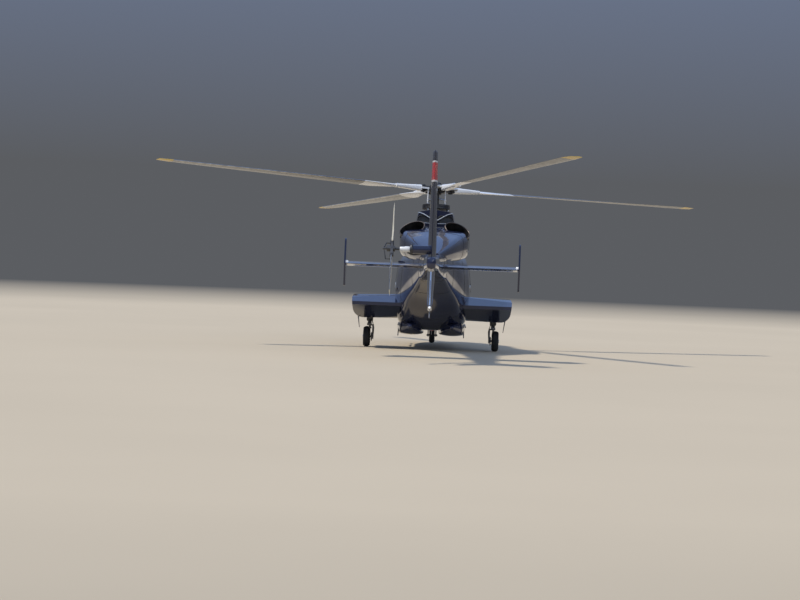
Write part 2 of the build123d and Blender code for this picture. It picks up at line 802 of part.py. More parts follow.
def blade_plane(out, twist):
    """Across the blade's span: local x towards the leading edge, local y up through the blade."""
    angle = math.radians(twist)
    return Plane(
        origin=(out, 0, 0),
        x_dir=(0, math.cos(angle), math.sin(angle)),
        z_dir=(1, 0, 0),
    )


blade = faceted(
    [aerofoil(blade_plane(out, twist), chord, thick) for out, chord, thick, twist in BLADE]
)


def on_rotor(piece, azimuth=0, cone=0):
    with BuildPart() as placed:
        with Locations(ROTOR.location * Rotation(0, 0, azimuth) * Rotation(0, -cone, 0)):
            add(piece)
    return placed.part


write(on_rotor(mast.part, ROTOR_PARK_DEG), "rotor_mast")
write(on_rotor(hub.part, ROTOR_PARK_DEG), "rotor_hub")
with BuildPart() as cuffs:
    for number in range(BLADE_COUNT):
        azimuth = ROTOR_PARK_DEG + number * 360 / BLADE_COUNT
        add(on_rotor(cuff.part, azimuth, PRECONE_DEG))
        add(on_rotor(link.part, azimuth))
write(cuffs.part, "blade_cuffs")
with BuildPart() as main_blades:
    for number in range(BLADE_COUNT):
        add(on_rotor(blade, ROTOR_PARK_DEG + number * 360 / BLADE_COUNT, PRECONE_DEG))
write(main_blades.part, "main_blades")

# Tail boom and fins
# Fin sections: height, leading edge, trailing edge, thickness
UPPER_FIN = [
    (1930, -6900, -8080, FIN_THICK_ROOT),
    (2390, -7330, -8250, 0.95 * FIN_THICK_ROOT),
    (FIN_TOP, -8330, FIN_REAR, FIN_THICK_TIP),
]
VENTRAL_FIN = [
    (1880, -7280, -8080, FIN_THICK_ROOT),
    (VENTRAL_BOTTOM, -7950, -8430, FIN_THICK_TIP),
]


def fin(sections, outline=AEROFOIL, wall=0):
    """A fin through its sections, or with a wall the hollow in it, which stops short of the tip."""
    frames = []
    root = sections[0][0]
    tip = sections[-1][0]
    for height, front, rear, thick in sections:
        short = math.copysign(wall, root - tip) if height == tip else 0
        plane = Plane(origin=(st(rear), 0, height + short), x_dir=(1, 0, 0), z_dir=(0, 0, 1))
        frames.append(aerofoil(plane, front - rear, thick, 1, outline, wall))
    return faceted(frames)


upper_fin = cut(fin(UPPER_FIN), boom_outer)
ventral_fin = cut(fin(VENTRAL_FIN), boom_outer)
write(cut(boom_outer, boom_inner), "tail_boom")
write(cut(upper_fin, fin(UPPER_FIN, AEROFOIL_CORE, FIN_WALL)), "upper_fin")
write(cut(ventral_fin, fin(VENTRAL_FIN, AEROFOIL_CORE, FIN_WALL)), "ventral_fin")

stabilizer_planes = [
    Plane(
        origin=(st(STABILIZER_AHEAD), left, STABILIZER_HEIGHT), x_dir=(1, 0, 0), z_dir=(0, -1, 0)
    )
    for left in (-STABILIZER_HALF_SPAN, STABILIZER_HALF_SPAN)
]


def tailplane(outline=AEROFOIL, wall=0):
    return faceted([
        aerofoil(plane, STABILIZER_CHORD, STABILIZER_THICK, outline=outline, wall=wall)
        for plane in stabilizer_planes
    ])


write(cut(tailplane(), boom_outer, tailplane(AEROFOIL_CORE, FIN_WALL)), "stabilizer")

END_PLATE = [(-5050, 1825), (-5480, 2285), (-5840, 2295), (-5900, 1805), (-5800, 1365), (-5480, 1365)]
with BuildPart() as end_plate:
    with BuildSketch(Plane.XZ.offset(-STABILIZER_HALF_SPAN)) as plate_outline:
        with BuildLine():
            Polyline(*[(st(ahead), height) for ahead, height in END_PLATE], close=True)
        make_face()
        fillet(plate_outline.vertices(), 60)
    extrude(amount=-END_PLATE_THICK)
with BuildPart() as end_plates:
    add(end_plate.part)
    mirror(end_plate.part, about=Plane.XZ)
write(end_plates.part, "end_plates")

# Tail rotor
tail_axis = Plane(
    origin=(st(TAIL_ROTOR_AHEAD), TAIL_ROTOR_LEFT, TAIL_ROTOR_HEIGHT),
    x_dir=(
        math.sin(math.radians(TAIL_ROTOR_PARK_DEG)),
        0,
        math.cos(math.radians(TAIL_ROTOR_PARK_DEG)),
    ),
    z_dir=(0, 1, 0),
)
TAIL_BOX_FACE = 400
with BuildPart() as tail_gearbox:
    with BuildSketch(Plane(origin=tail_axis.origin, x_dir=(1, 0, 0), z_dir=(0, 1, 0)).offset(
        TAIL_BOX_FACE - TAIL_ROTOR_LEFT
    )):
        Circle(TAIL_BOX_RADIUS)
    extrude(amount=-TAIL_BOX_FACE)
    with Locations(tail_axis.location):
        Cylinder(
            TAIL_SHAFT_RADIUS + RUNNING_GAP,
            2 * (TAIL_ROTOR_LEFT - TAIL_BOX_FACE + 80),
            mode=Mode.SUBTRACT,
        )
    add(upper_fin, mode=Mode.SUBTRACT)
    add(boom_outer, mode=Mode.SUBTRACT)
tail_box = tail_gearbox.part.solids().sort_by(Axis.Y)[-1]
write(Part() + tail_box, "tail_gearbox")

# Tail blade sections: distance out, chord, thickness, twist
TAIL_BLADE = [
    (TAIL_BLADE_ROOT, 0.6 * TAIL_BLADE_CHORD, 1.5 * TAIL_BLADE_THICK, 8),
    (TAIL_BLADE_ROOT + 180, TAIL_BLADE_CHORD, TAIL_BLADE_THICK, 8),
    (TAIL_ROTOR_RADIUS, TAIL_BLADE_CHORD, 0.8 * TAIL_BLADE_THICK, 2),
]
tail_blade = faceted(
    [aerofoil(blade_plane(out, twist), chord, thick) for out, chord, thick, twist in TAIL_BLADE]
)
with BuildPart() as tail_hub:
    with Locations(tail_axis.location):
        Cylinder(TAIL_HUB_RADIUS, 120)
        Box(2 * TAIL_BLADE_ROOT, 90, 46)
        Cylinder(
            TAIL_SHAFT_RADIUS,
            TAIL_ROTOR_LEFT - TAIL_BOX_FACE + 78,
            align=(Align.CENTER, Align.CENTER, Align.MAX),
        )
write(tail_hub.part, "tail_rotor_hub")
with BuildPart() as tail_blades:
    for turn in (0, 180):
        with Locations(tail_axis.location * Rotation(0, 0, turn)):
            add(tail_blade)
write(tail_blades.part, "tail_blades")

# Sponsons
with BuildPart() as sponson_front_view:
    with BuildSketch(Plane.YZ.offset(st(SPONSON_REAR))):
        with BuildLine():
            Polyline(
                (500, SPONSON_BOTTOM + 20),
                (500, SPONSON_TOP + 40),
                (SPONSON_HALF_WIDTH - 25, SPONSON_TOP),
                (SPONSON_HALF_WIDTH, SPONSON_TOP - 60),
                (SPONSON_HALF_WIDTH - 20, SPONSON_BOTTOM + 210),
            )
            ThreePointArc(
                (SPONSON_HALF_WIDTH - 20, SPONSON_BOTTOM + 210),
                (SPONSON_HALF_WIDTH - 85, SPONSON_BOTTOM + 60),
                (SPONSON_HALF_WIDTH - 240, SPONSON_BOTTOM),
            )
            Line((SPONSON_HALF_WIDTH - 240, SPONSON_BOTTOM), (500, SPONSON_BOTTOM + 20))
        make_face()
    extrude(amount=SPONSON_FRONT - SPONSON_REAR)
SPONSON_MID = (SPONSON_TOP + SPONSON_BOTTOM) / 2
with BuildPart() as sponson_side_view:
    with BuildSketch(Plane.XZ):
        with BuildLine():
            ThreePointArc(
                (st(SPONSON_FRONT - 250), SPONSON_TOP + 40),
                (st(SPONSON_FRONT), SPONSON_MID),
                (st(SPONSON_FRONT - 250), SPONSON_BOTTOM),
            )
            Polyline(
                (st(SPONSON_FRONT - 250), SPONSON_BOTTOM),
                (st(SPONSON_REAR + 700), SPONSON_BOTTOM),
                (st(SPONSON_REAR), SPONSON_MID + 40),
                (st(SPONSON_REAR), SPONSON_MID + 110),
                (st(SPONSON_REAR + 500), SPONSON_TOP + 40),
                (st(SPONSON_FRONT - 250), SPONSON_TOP + 40),
            )
        make_face()
    extrude(amount=FAR, both=True)
WELL_HALF = 110
LEG_LEFT = MAIN_TRACK / 2 - 55
leg_well = block(
    (MAIN_WHEEL_AHEAD - 260, MAIN_WHEEL_AHEAD + 130),
    (LEG_LEFT - 330, LEG_LEFT + WELL_HALF),
    (0, SPONSON_BOTTOM + 220),
)
sponson = cut(
    common(sponson_front_view.part, sponson_side_view.part), hull_outer, leg_well
)
with BuildPart() as sponsons:
    add(sponson)
    mirror(sponson, about=Plane.XZ)
write(sponsons.part, "sponsons")

lobe = cut(skin(BELLY_LOBE, left=BELLY_LOBE_LEFT), hull_outer)
with BuildPart() as belly_lobes:
    add(lobe)
    mirror(lobe, about=Plane.XZ)
write(belly_lobes.part, "belly_fairings")

# Main legs
AXLE_HEIGHT = MAIN_TYRE_RADIUS
LEG_BOTTOM = 2 * MAIN_TYRE_RADIUS + 45
FORK_LEFT = MAIN_TRACK / 2 - MAIN_TYRE_WIDTH / 2 - 38
FORK_THICK = 34
BRAKE_RADIUS = 92
BRAKE_THICK = 22
with BuildPart() as main_leg:
    with BuildSketch(Plane.XY.offset(LEG_BOTTOM + 70)):
        with Locations((st(MAIN_WHEEL_AHEAD), LEG_LEFT)):
            Circle(OLEO_RADIUS)
    extrude(amount=SPONSON_BOTTOM + 220 - LEG_BOTTOM - 70)
    with BuildSketch(Plane.XY.offset(LEG_BOTTOM)):
        with Locations((st(MAIN_WHEEL_AHEAD), LEG_LEFT)):
            Circle(PISTON_RADIUS)
    extrude(amount=80)
    with BuildSketch(Plane.YZ.offset(st(MAIN_WHEEL_AHEAD) - 45)):
        with BuildLine():
            Polyline(
                (FORK_LEFT - FORK_THICK, AXLE_HEIGHT - 50),
                (FORK_LEFT, AXLE_HEIGHT - 50),
                (FORK_LEFT, LEG_BOTTOM - 30),
                (LEG_LEFT + 55, LEG_BOTTOM - 24),
                (LEG_LEFT + 55, LEG_BOTTOM),
                (FORK_LEFT - FORK_THICK, LEG_BOTTOM),
                close=True,
            )
        make_face()
    extrude(amount=90)
    with BuildSketch(Plane.XZ.offset(-FORK_LEFT)):
        with Locations((st(MAIN_WHEEL_AHEAD), AXLE_HEIGHT)):
            Circle(AXLE_RADIUS)
    extrude(amount=-(MAIN_TYRE_WIDTH + 30))
    with BuildSketch(Plane.XZ.offset(-FORK_LEFT)):
        with Locations((st(MAIN_WHEEL_AHEAD), AXLE_HEIGHT)):
            Circle(BRAKE_RADIUS)
    extrude(amount=-BRAKE_THICK)
with BuildPart() as main_legs:
    add(main_leg.part)
    mirror(main_leg.part, about=Plane.XZ)
write(main_legs.part, "main_legs")

with BuildPart() as gear_door:
    with BuildSketch(Plane.YZ.offset(st(MAIN_WHEEL_AHEAD) - 200)):
        with BuildLine():
            Polyline(
                (SPONSON_HALF_WIDTH - 130, SPONSON_BOTTOM + 60),
                (SPONSON_HALF_WIDTH - 105, SPONSON_BOTTOM + 60),
                (SPONSON_HALF_WIDTH - 150, SPONSON_BOTTOM - 220),
                (SPONSON_HALF_WIDTH - 162, SPONSON_BOTTOM - 220),
                close=True,
            )
        make_face()
    extrude(amount=360)
    add(sponson, mode=Mode.SUBTRACT)
with BuildPart() as gear_doors:
    add(gear_door.part)
    mirror(gear_door.part, about=Plane.XZ)
write(gear_doors.part, "gear_doors")


# Wheels
def tyre(radius, width, bore):
    """A tyre about the Z axis: bead, sidewall, shoulder and crown."""
    half = width / 2
    side = [
        (bore, 0.62 * half),
        (bore + 0.35 * (radius - bore), half),
        (bore + 0.65 * (radius - bore), 0.97 * half),
        (radius - 0.12 * half, 0.6 * half),
        (radius, 0.2 * half),
    ]
    with BuildPart() as ring:
        with BuildSketch(Plane.XZ):
            with BuildLine():
                Polyline(*side, *[(out, -up) for out, up in reversed(side)], close=True)
            make_face()
        revolve(axis=Axis.Z)
    return ring.part


def rim(radius, width, hole):
    """A wheel rim about the Z axis, dished on both sides, with its axle bore."""
    half = width / 2
    with BuildPart() as disc:
        with BuildSketch(Plane.XZ):
            with BuildLine():
                Polyline(
                    (hole, -half * 0.9),
                    (hole + 28, -half * 0.9),
                    (hole + 34, -half * 0.35),
                    (radius - 22, -half * 0.35),
                    (radius - 14, -half * 0.8),
                    (radius, -half * 0.8),
                    (radius, half * 0.8),
                    (radius - 14, half * 0.8),
                    (radius - 22, half * 0.35),
                    (hole + 34, half * 0.35),
                    (hole + 28, half * 0.9),
                    (hole, half * 0.9),
                    close=True,
                )
            make_face()
        revolve(axis=Axis.Z)
    return disc.part


def on_axle(piece, ahead, left, height):
    with BuildPart() as placed:
        with Locations(Location((st(ahead), left, height), (90, 0, 0))):
            add(piece)
    return placed.part


MAIN_RIM_RADIUS = 128
NOSE_RIM_RADIUS = 100
main_tyre = tyre(MAIN_TYRE_RADIUS, MAIN_TYRE_WIDTH, MAIN_RIM_RADIUS)
main_rim = rim(MAIN_RIM_RADIUS, MAIN_TYRE_WIDTH, AXLE_RADIUS + RUNNING_GAP)
nose_tyre = tyre(NOSE_TYRE_RADIUS, NOSE_TYRE_WIDTH, NOSE_RIM_RADIUS)
nose_rim = rim(NOSE_RIM_RADIUS, NOSE_TYRE_WIDTH, AXLE_RADIUS + RUNNING_GAP)
for side, label in [(1, "left"), (-1, "right")]:
    place = (MAIN_WHEEL_AHEAD, side * MAIN_TRACK / 2, MAIN_TYRE_RADIUS)
    write(on_axle(main_tyre, *place), f"main_tyre_{label}")
    write(on_axle(main_rim, *place), f"main_rim_{label}")
nose_place = (NOSE_WHEEL_AHEAD - NOSE_TRAIL, 0, NOSE_TYRE_RADIUS)
write(on_axle(nose_tyre, *nose_place), "nose_tyre")
write(on_axle(nose_rim, *nose_place), "nose_rim")

# Nose leg and its castering fork
FORK_TOP = 2 * NOSE_TYRE_RADIUS + 60
NOSE_PIVOT_RADIUS = 34
with BuildPart() as nose_leg:
    with BuildSketch(Plane.XY.offset(FORK_TOP + 1)):
        with Locations((st(NOSE_WHEEL_AHEAD), 0)):
            Circle(OLEO_RADIUS - 10)
    extrude(amount=NOSE_BAY_TOP - FORK_TOP - 1)
    with BuildSketch(Plane.XY.offset(FORK_TOP + 1)):
        with Locations((st(NOSE_WHEEL_AHEAD), 0)):
            Circle(NOSE_PIVOT_RADIUS + RUNNING_GAP)
    extrude(amount=150, mode=Mode.SUBTRACT)
write(nose_leg.part, "nose_leg")
with BuildPart() as nose_fork:
    with BuildSketch(Plane.XY.offset(FORK_TOP)):
        with Locations((st(NOSE_WHEEL_AHEAD), 0)):
            Circle(NOSE_PIVOT_RADIUS)
    extrude(amount=140)
    with BuildSketch(Plane.XY.offset(FORK_TOP)):
        with Locations((st(NOSE_WHEEL_AHEAD), 0)):
            Circle(OLEO_RADIUS)
        with Locations((st(NOSE_WHEEL_AHEAD - NOSE_TRAIL / 2), 0)):
            Rectangle(150, NOSE_TYRE_WIDTH + 76)
    extrude(amount=-30)
    for side in (-1, 1):
        inner = side * (NOSE_TYRE_WIDTH / 2 + 12)
        with BuildSketch(Plane.XZ.offset(-inner)):
            with BuildLine():
                Polyline(
                    (st(NOSE_WHEEL_AHEAD + 35), FORK_TOP - 10),
                    (st(NOSE_WHEEL_AHEAD - NOSE_TRAIL + 32), NOSE_TYRE_RADIUS - 36),
                    (st(NOSE_WHEEL_AHEAD - NOSE_TRAIL - 32), NOSE_TYRE_RADIUS - 36),
                    (st(NOSE_WHEEL_AHEAD - 105), FORK_TOP - 10),
                    close=True,
                )
            make_face()
        extrude(amount=-side * 26)
    with BuildSketch(Plane.XZ.offset(NOSE_TYRE_WIDTH / 2 + 60)):
        with Locations((st(NOSE_WHEEL_AHEAD - NOSE_TRAIL), NOSE_TYRE_RADIUS)):
            Circle(AXLE_RADIUS)
    extrude(amount=-(NOSE_TYRE_WIDTH + 120))
    with BuildSketch(Plane.XZ.offset(NOSE_TYRE_WIDTH / 2 + 60)):
        with Locations((st(NOSE_WHEEL_AHEAD - NOSE_TRAIL), NOSE_TYRE_RADIUS)):
            Circle(AXLE_RADIUS - 8)
    extrude(amount=-(NOSE_TYRE_WIDTH + 120), mode=Mode.SUBTRACT)
write(nose_fork.part, "nose_fork")

nose_bay_box = cut(
    block(
        (NOSE_BAY_AHEAD[0] - NOSE_BAY_WALL, NOSE_BAY_AHEAD[1] + NOSE_BAY_WALL),
        (-NOSE_BAY_HALF - NOSE_BAY_WALL, NOSE_BAY_HALF + NOSE_BAY_WALL),
        (0, NOSE_BAY_TOP + NOSE_BAY_WALL),
    ),
    nose_bay_hollow,
)
write(common(nose_bay_box, hull_inner), "nose_wheel_bay")

# Jacking pads under the belly: ahead of the mast, left
JACK_PADS = [(2600, 0), (700, 350), (700, -350)]
JACK_PAD_RADIUS = 40
JACK_PAD_BOTTOM = 370
with BuildPart() as jack_pads:
    for ahead, left in JACK_PADS:
        with Locations((st(ahead), left, JACK_PAD_BOTTOM)):
            Cylinder(JACK_PAD_RADIUS, 120, align=(Align.CENTER, Align.CENTER, Align.MIN))
    add(hull_outer, mode=Mode.SUBTRACT, clean=False)
write(jack_pads.part, "jack_pads")
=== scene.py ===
"""Looks of the twin-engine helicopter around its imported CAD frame, in metres."""
import json
import math

import bmesh
import bpy
import numpy as np
from mathutils import Matrix, Vector


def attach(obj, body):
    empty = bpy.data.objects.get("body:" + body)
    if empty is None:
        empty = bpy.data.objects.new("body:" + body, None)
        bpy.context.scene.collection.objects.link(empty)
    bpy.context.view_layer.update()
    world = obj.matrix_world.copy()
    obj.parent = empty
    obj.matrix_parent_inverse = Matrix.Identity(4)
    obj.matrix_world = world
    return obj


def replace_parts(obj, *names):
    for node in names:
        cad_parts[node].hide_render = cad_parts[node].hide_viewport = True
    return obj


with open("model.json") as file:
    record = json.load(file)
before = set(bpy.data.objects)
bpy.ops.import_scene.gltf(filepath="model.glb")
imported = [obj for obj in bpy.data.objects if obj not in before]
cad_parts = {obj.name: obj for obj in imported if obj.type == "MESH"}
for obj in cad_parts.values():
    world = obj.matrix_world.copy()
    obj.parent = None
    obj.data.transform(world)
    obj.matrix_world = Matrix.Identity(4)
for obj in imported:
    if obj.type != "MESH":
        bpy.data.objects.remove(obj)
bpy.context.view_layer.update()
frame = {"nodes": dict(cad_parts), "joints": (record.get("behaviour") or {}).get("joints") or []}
JOINTS = {joint["name"]: joint for joint in frame["joints"]}
MAST = Vector(JOINTS["main_rotor_turn"]["pos_m"])
MM = 0.001
SIDES = ((1, "left"), (-1, "right"))


def st(ahead):
    """The place along the aircraft, in metres, of a distance in millimetres ahead of the mast."""
    return MAST.x + ahead * MM


def spots(side, *rows):
    """Points from rows of millimetres ahead of the mast, and metres outward and upward."""
    return [(st(ahead), side * outward, height) for ahead, outward, height in rows]


def at(x, y=0, z=0):
    return Matrix.Translation((x, y, z))


def turn_by(degrees, axis):
    return Matrix.Rotation(math.radians(degrees), 4, axis)


def axes(x, y, z):
    """The rotation whose columns are three axes."""
    return Matrix((x, y, z)).transposed().to_4x4()


def linked(name, data):
    made = bpy.data.objects.new(name, data)
    bpy.context.scene.collection.objects.link(made)
    return made


# Camera
LENS = 116.04
SENSOR = 36.0
CAMERA_PLACE = (-54.482, -0.329, 2.05)
CAMERA_HEADING_DEG = 1.056
CAMERA_PITCH_DEG = -1.05
CAMERA_ROLL_DEG = 2.27
CLIP_END = 1000


def make_camera():
    heading, pitch, roll = (
        math.radians(angle) for angle in (CAMERA_HEADING_DEG, CAMERA_PITCH_DEG, CAMERA_ROLL_DEG)
    )
    forward = Vector((math.cos(pitch) * math.cos(heading), math.cos(pitch) * math.sin(heading),
                      math.sin(pitch)))
    right = Vector((math.sin(heading), -math.cos(heading), 0))
    upward = right.cross(forward)
    camera = linked("camera", bpy.data.cameras.new("camera"))
    camera.matrix_world = at(*CAMERA_PLACE) @ axes(
        math.cos(roll) * right + math.sin(roll) * upward,
        math.cos(roll) * upward - math.sin(roll) * right,
        -forward,
    )
    camera.data.lens = LENS
    camera.data.sensor_width = SENSOR
    camera.data.clip_end = CLIP_END
    bpy.context.scene.camera = camera


make_camera()


# Materials
def new_material(name):
    made = bpy.data.materials.new(name)
    made.use_nodes = True
    tree = made.node_tree
    place = tree.nodes.new("ShaderNodeTexCoord")
    return made, tree, tree.nodes["Principled BSDF"], place.outputs["Object"]


def feed(tree, node, sources, values=None):
    """Links the sockets that feed a node and sets its constants."""
    for socket, source in sources.items():
        tree.links.new(source, node.inputs[socket])
    for socket, value in (values or {}).items():
        node.inputs[socket].default_value = value
    return node


def add_node(tree, kind, sources, values=None):
    return feed(tree, tree.nodes.new(f"ShaderNode{kind}"), sources, values)


def noise(tree, place, scale, detail=4):
    node = add_node(tree, "TexNoise", {"Vector": place}, {"Scale": scale, "Detail": detail})
    return node.outputs["Fac"]


def spread(tree, value, low, high, from_low=0.3, from_high=0.7):
    limits = {"From Min": from_low, "From Max": from_high, "To Min": low, "To Max": high}
    return add_node(tree, "MapRange", {"Value": value}, limits).outputs["Result"]


def mixed(tree, share, first, second):
    """A colour between two; sockets 6 and 7 are the node's two colours."""
    node = add_node(tree, "Mix", {"Factor": share}, {6: (*first, 1), 7: (*second, 1)})
    node.data_type = "RGBA"
    return node.outputs[2]


def blotched(tree, place, scale, first, second):
    """A colour that drifts between two in soft patches."""
    return mixed(tree, spread(tree, noise(tree, place, scale), 0, 1), first, second)


def add_bump(tree, shader, height, strength, distance):
    node = add_node(tree, "Bump", {"Height": height}, {"Strength": strength, "Distance": distance})
    feed(tree, shader, {"Normal": node.outputs["Normal"]})


def surface(name, light, dark, scale, rough, metallic=0.0, bump=0.0, grain=None, coat=0.0,
            specular=0.5):
    """A finish whose colour, roughness and fine relief vary over the surface."""
    made, tree, shader, place = new_material(name)
    fine = noise(tree, place, grain or scale * 9, detail=6)
    feed(tree, shader,
         {"Base Color": blotched(tree, place, scale, dark, light),
          "Roughness": spread(tree, fine, *rough)},
         {"Metallic": metallic, "Specular IOR Level": specular})
    if coat:
        feed(tree, shader, {}, {"Coat Weight": coat, "Coat Roughness": 0.04})
    if bump:
        add_bump(tree, shader, fine, bump, 0.002)
    return made


NAVY = (0.010, 0.013, 0.034)
NAVY_FADED = (0.018, 0.023, 0.052)
BAND_RED = (0.55, 0.02, 0.03)
BAND_WHITE = (0.78, 0.78, 0.78)
# Fin bands: lower height, colour above it
FIN_BANDS = [(0, NAVY), (3.38, BAND_WHITE), (3.41, BAND_RED), (3.73, BAND_WHITE), (3.76, NAVY)]
BAND_MARGIN = 0.5


def banded(tree, place, bands):
    """A colour that changes at set heights."""
    low = bands[1][0] - BAND_MARGIN
    high = bands[-1][0] + BAND_MARGIN
    upward = add_node(tree, "SeparateXYZ", {"Vector": place}).outputs["Z"]
    ramp = add_node(tree, "ValToRGB", {"Fac": spread(tree, upward, 0, 1, low, high)})
    ramp.color_ramp.interpolation = "CONSTANT"
    stops = ramp.color_ramp.elements
    while len(stops) < len(bands):
        stops.new(1.0)
    for stop, (height, shade) in zip(stops, bands):
        stop.position = max(0.0, (height - low) / (high - low))
        stop.color = (*shade, 1)
    return ramp.outputs["Color"]


def paint(name, bands=(), lacquer=1.0, gleam=0.2):
    """Deep gloss paint under clear lacquer, faded in patches, with a trace of orange peel."""
    made, tree, shader, place = new_material(name)
    colour = (banded(tree, place, bands) if bands
              else blotched(tree, place, 1.3, NAVY, NAVY_FADED))
    fine = noise(tree, place, 14, detail=8)
    feed(tree, shader, {"Base Color": colour, "Roughness": spread(tree, fine, 0.1, 0.2)},
         {"Specular IOR Level": gleam, "Coat Weight": lacquer, "Coat Roughness": 0.03})
    add_bump(tree, shader, noise(tree, place, 90, detail=2), 0.05, 0.001)
    return made


def glass(name, tint):
    made, tree, shader, place = new_material(name)
    haze = noise(tree, place, 6)
    feed(tree, shader, {"Roughness": spread(tree, haze, 0.02, 0.05)},
         {"Base Color": (*tint, 1), "Transmission Weight": 0.92, "IOR": 1.49})
    return made


def woven(name, light, dark, pitch):
    """Cloth or fine mesh: crossed sets of threads."""
    made, tree, shader, place = new_material(name)
    total = None
    for direction in ("X", "Y", "Z"):
        wave = add_node(tree, "TexWave", {"Vector": place},
                        {"Scale": 1 / (pitch * 6.28), "Distortion": 0.4})
        wave.bands_direction = direction
        threads = wave.outputs["Fac"]
        if total is None:
            total = threads
            continue
        product = add_node(tree, "Math", {0: total, 1: threads})
        product.operation = "MULTIPLY"
        total = product.outputs["Value"]
    feed(tree, shader,
         {"Base Color": mixed(tree, total, dark, light),
          "Roughness": spread(tree, noise(tree, place, 9), 0.75, 0.92)},
         {"Sheen Weight": 0.3})
    add_bump(tree, shader, total, 0.4, 0.002)
    return made


def glow(name, colour, strength):
    """A lit or lens-like lamp cover."""
    made, tree, shader, place = new_material(name)
    fine = noise(tree, place, 60)
    feed(tree, shader,
         {"Base Color": mixed(tree, fine, colour, tuple(0.7 * part for part in colour)),
          "Roughness": spread(tree, fine, 0.05, 0.12)},
         {"Coat Weight": 1.0, "Emission Color": (*colour, 1), "Emission Strength": strength})
    return made


BLADE_GREY = (0.062, 0.057, 0.048)
BLADE_GREY_WORN = (0.1, 0.09, 0.075)
TIP_YELLOW = (0.62, 0.42, 0.04)
TIP_YELLOW_WORN = (0.5, 0.33, 0.04)

M = {
    "paint": paint("gloss_paint"),
    "fin_paint": paint("fin_paint", FIN_BANDS, lacquer=0.25, gleam=0.08),
    "glass": glass("tinted_glass", (0.4, 0.44, 0.46)),
    "metal": surface("satin_metal", (0.62, 0.62, 0.6), (0.42, 0.42, 0.41), 5, (0.25, 0.45), 1.0,
                     0.08, 120),
    "steel": surface("dark_steel", (0.1, 0.1, 0.1), (0.05, 0.05, 0.053), 7, (0.35, 0.55), 0.9,
                     0.1, 90),
    "bright": surface("bright_steel", (0.75, 0.75, 0.74), (0.55, 0.55, 0.55), 12, (0.1, 0.22), 1.0),
    "soot": surface("sooty_metal", (0.045, 0.042, 0.04), (0.012, 0.011, 0.01), 9, (0.6, 0.85), 0.6,
                    0.2, 70),
    "pipe": surface("heat_tinted_metal", (0.16, 0.13, 0.11), (0.06, 0.055, 0.055), 5, (0.35, 0.6),
                    1.0, 0.1, 60),
    "blade": surface("blade_skin", BLADE_GREY_WORN, BLADE_GREY, 2.2, (0.3, 0.42), 0.0, 0.01, 12,
                     coat=0.4),
    # Pale base colour. On the blade roots and cuffs it is a painted highlight standing for the sun's
    # glint. On the tail shaft sleeve it is the part's own pale finish.
    "root": surface("pale_skin_and_painted_glint", (0.8, 0.8, 0.78), (0.7, 0.7, 0.68), 4, (0.12, 0.28), 0.0,
                    0.03, 50, coat=0.6),
    "erosion": surface("erosion_strip", (0.5, 0.5, 0.49), (0.3, 0.3, 0.3), 8, (0.22, 0.4), 1.0),
    "yellow": surface("tip_yellow", TIP_YELLOW, TIP_YELLOW_WORN, 5, (0.3, 0.45), coat=0.3),
    "cream": surface("tail_blade_skin", (0.72, 0.68, 0.56), (0.55, 0.51, 0.41), 4, (0.3, 0.5),
                     0.0, 0.05, 60),
    "gear": surface("gear_enamel", (0.2, 0.2, 0.2), (0.12, 0.12, 0.125), 7, (0.3, 0.5), 0.2,
                    0.05, 80),
    "grey": surface("bay_enamel", (0.5, 0.51, 0.48), (0.38, 0.39, 0.37), 5, (0.4, 0.6), 0.0, 0.05),
    "rubber": surface("tyre_rubber", (0.035, 0.034, 0.033), (0.016, 0.016, 0.016), 11,
                      (0.75, 0.95), 0.0, 0.3, 140, specular=0.3),
    "seal": surface("seal_rubber", (0.02, 0.02, 0.02), (0.01, 0.01, 0.01), 20, (0.5, 0.7), 0.0,
                    0.1),
    "trim": surface("cabin_plastic", (0.16, 0.16, 0.165), (0.1, 0.1, 0.105), 6, (0.5, 0.7), 0.0,
                    0.15, 300),
    "carpet": woven("carpet", (0.11, 0.11, 0.13), (0.035, 0.035, 0.045), 0.004),
    "leather": surface("seat_leather", (0.4, 0.36, 0.3), (0.3, 0.265, 0.22), 8, (0.4, 0.6), 0.0,
                       0.35, 260),
    "belt": woven("webbing", (0.14, 0.14, 0.15), (0.05, 0.05, 0.055), 0.003),
    "screen": woven("intake_screen", (0.3, 0.3, 0.3), (0.01, 0.01, 0.01), 0.006),
    "red_lamp": glow("red_lamp", (0.75, 0.03, 0.02), 0.15),
    "white_lamp": glow("white_lamp", (0.9, 0.9, 0.88), 0.5),
    "dial": glow("dial_face", (0.03, 0.05, 0.06), 0.05),
}
SLOT = {
    "paint": "airframe_paint", "fin_paint": "airframe_paint", "glass": "tinted_glass",
    "trim": "cabin_trim", "carpet": "cabin_trim", "dial": "cabin_trim", "leather": "seat_cloth",
    "belt": "seat_cloth", "soot": "exhaust_metal", "pipe": "exhaust_metal", "metal": "casting",
    "screen": "casting", "steel": "bare_steel", "root": "blade_paint", "blade": "blade_paint",
    "cream": "tail_blade_paint", "gear": "gear_paint", "rubber": "tyre_rubber",
    "bright": "rim_metal", "grey": "bay_paint",
}


# Shapes
def between(near, far, count):
    """Values in equal steps from near to far, both included."""
    return [near + (far - near) * k / count for k in range(count + 1)]


def turns(count):
    """Even angles once round."""
    return between(0, 2 * math.pi, count)[:-1]


def oval(a, b, z=0.0, count=48):
    return [(a * math.cos(turn), b * math.sin(turn), z) for turn in turns(count)]


def bead(middle, *rows):
    """A turned outline that is alike below and above its middle: radius, distance from it."""
    below = [(radius, middle - apart) for radius, apart in rows]
    return below + [(radius, middle + apart) for radius, apart in reversed(rows)]


def nut(radius, low, high):
    return [(radius, low), (radius, high), (0, high + 0.002)]


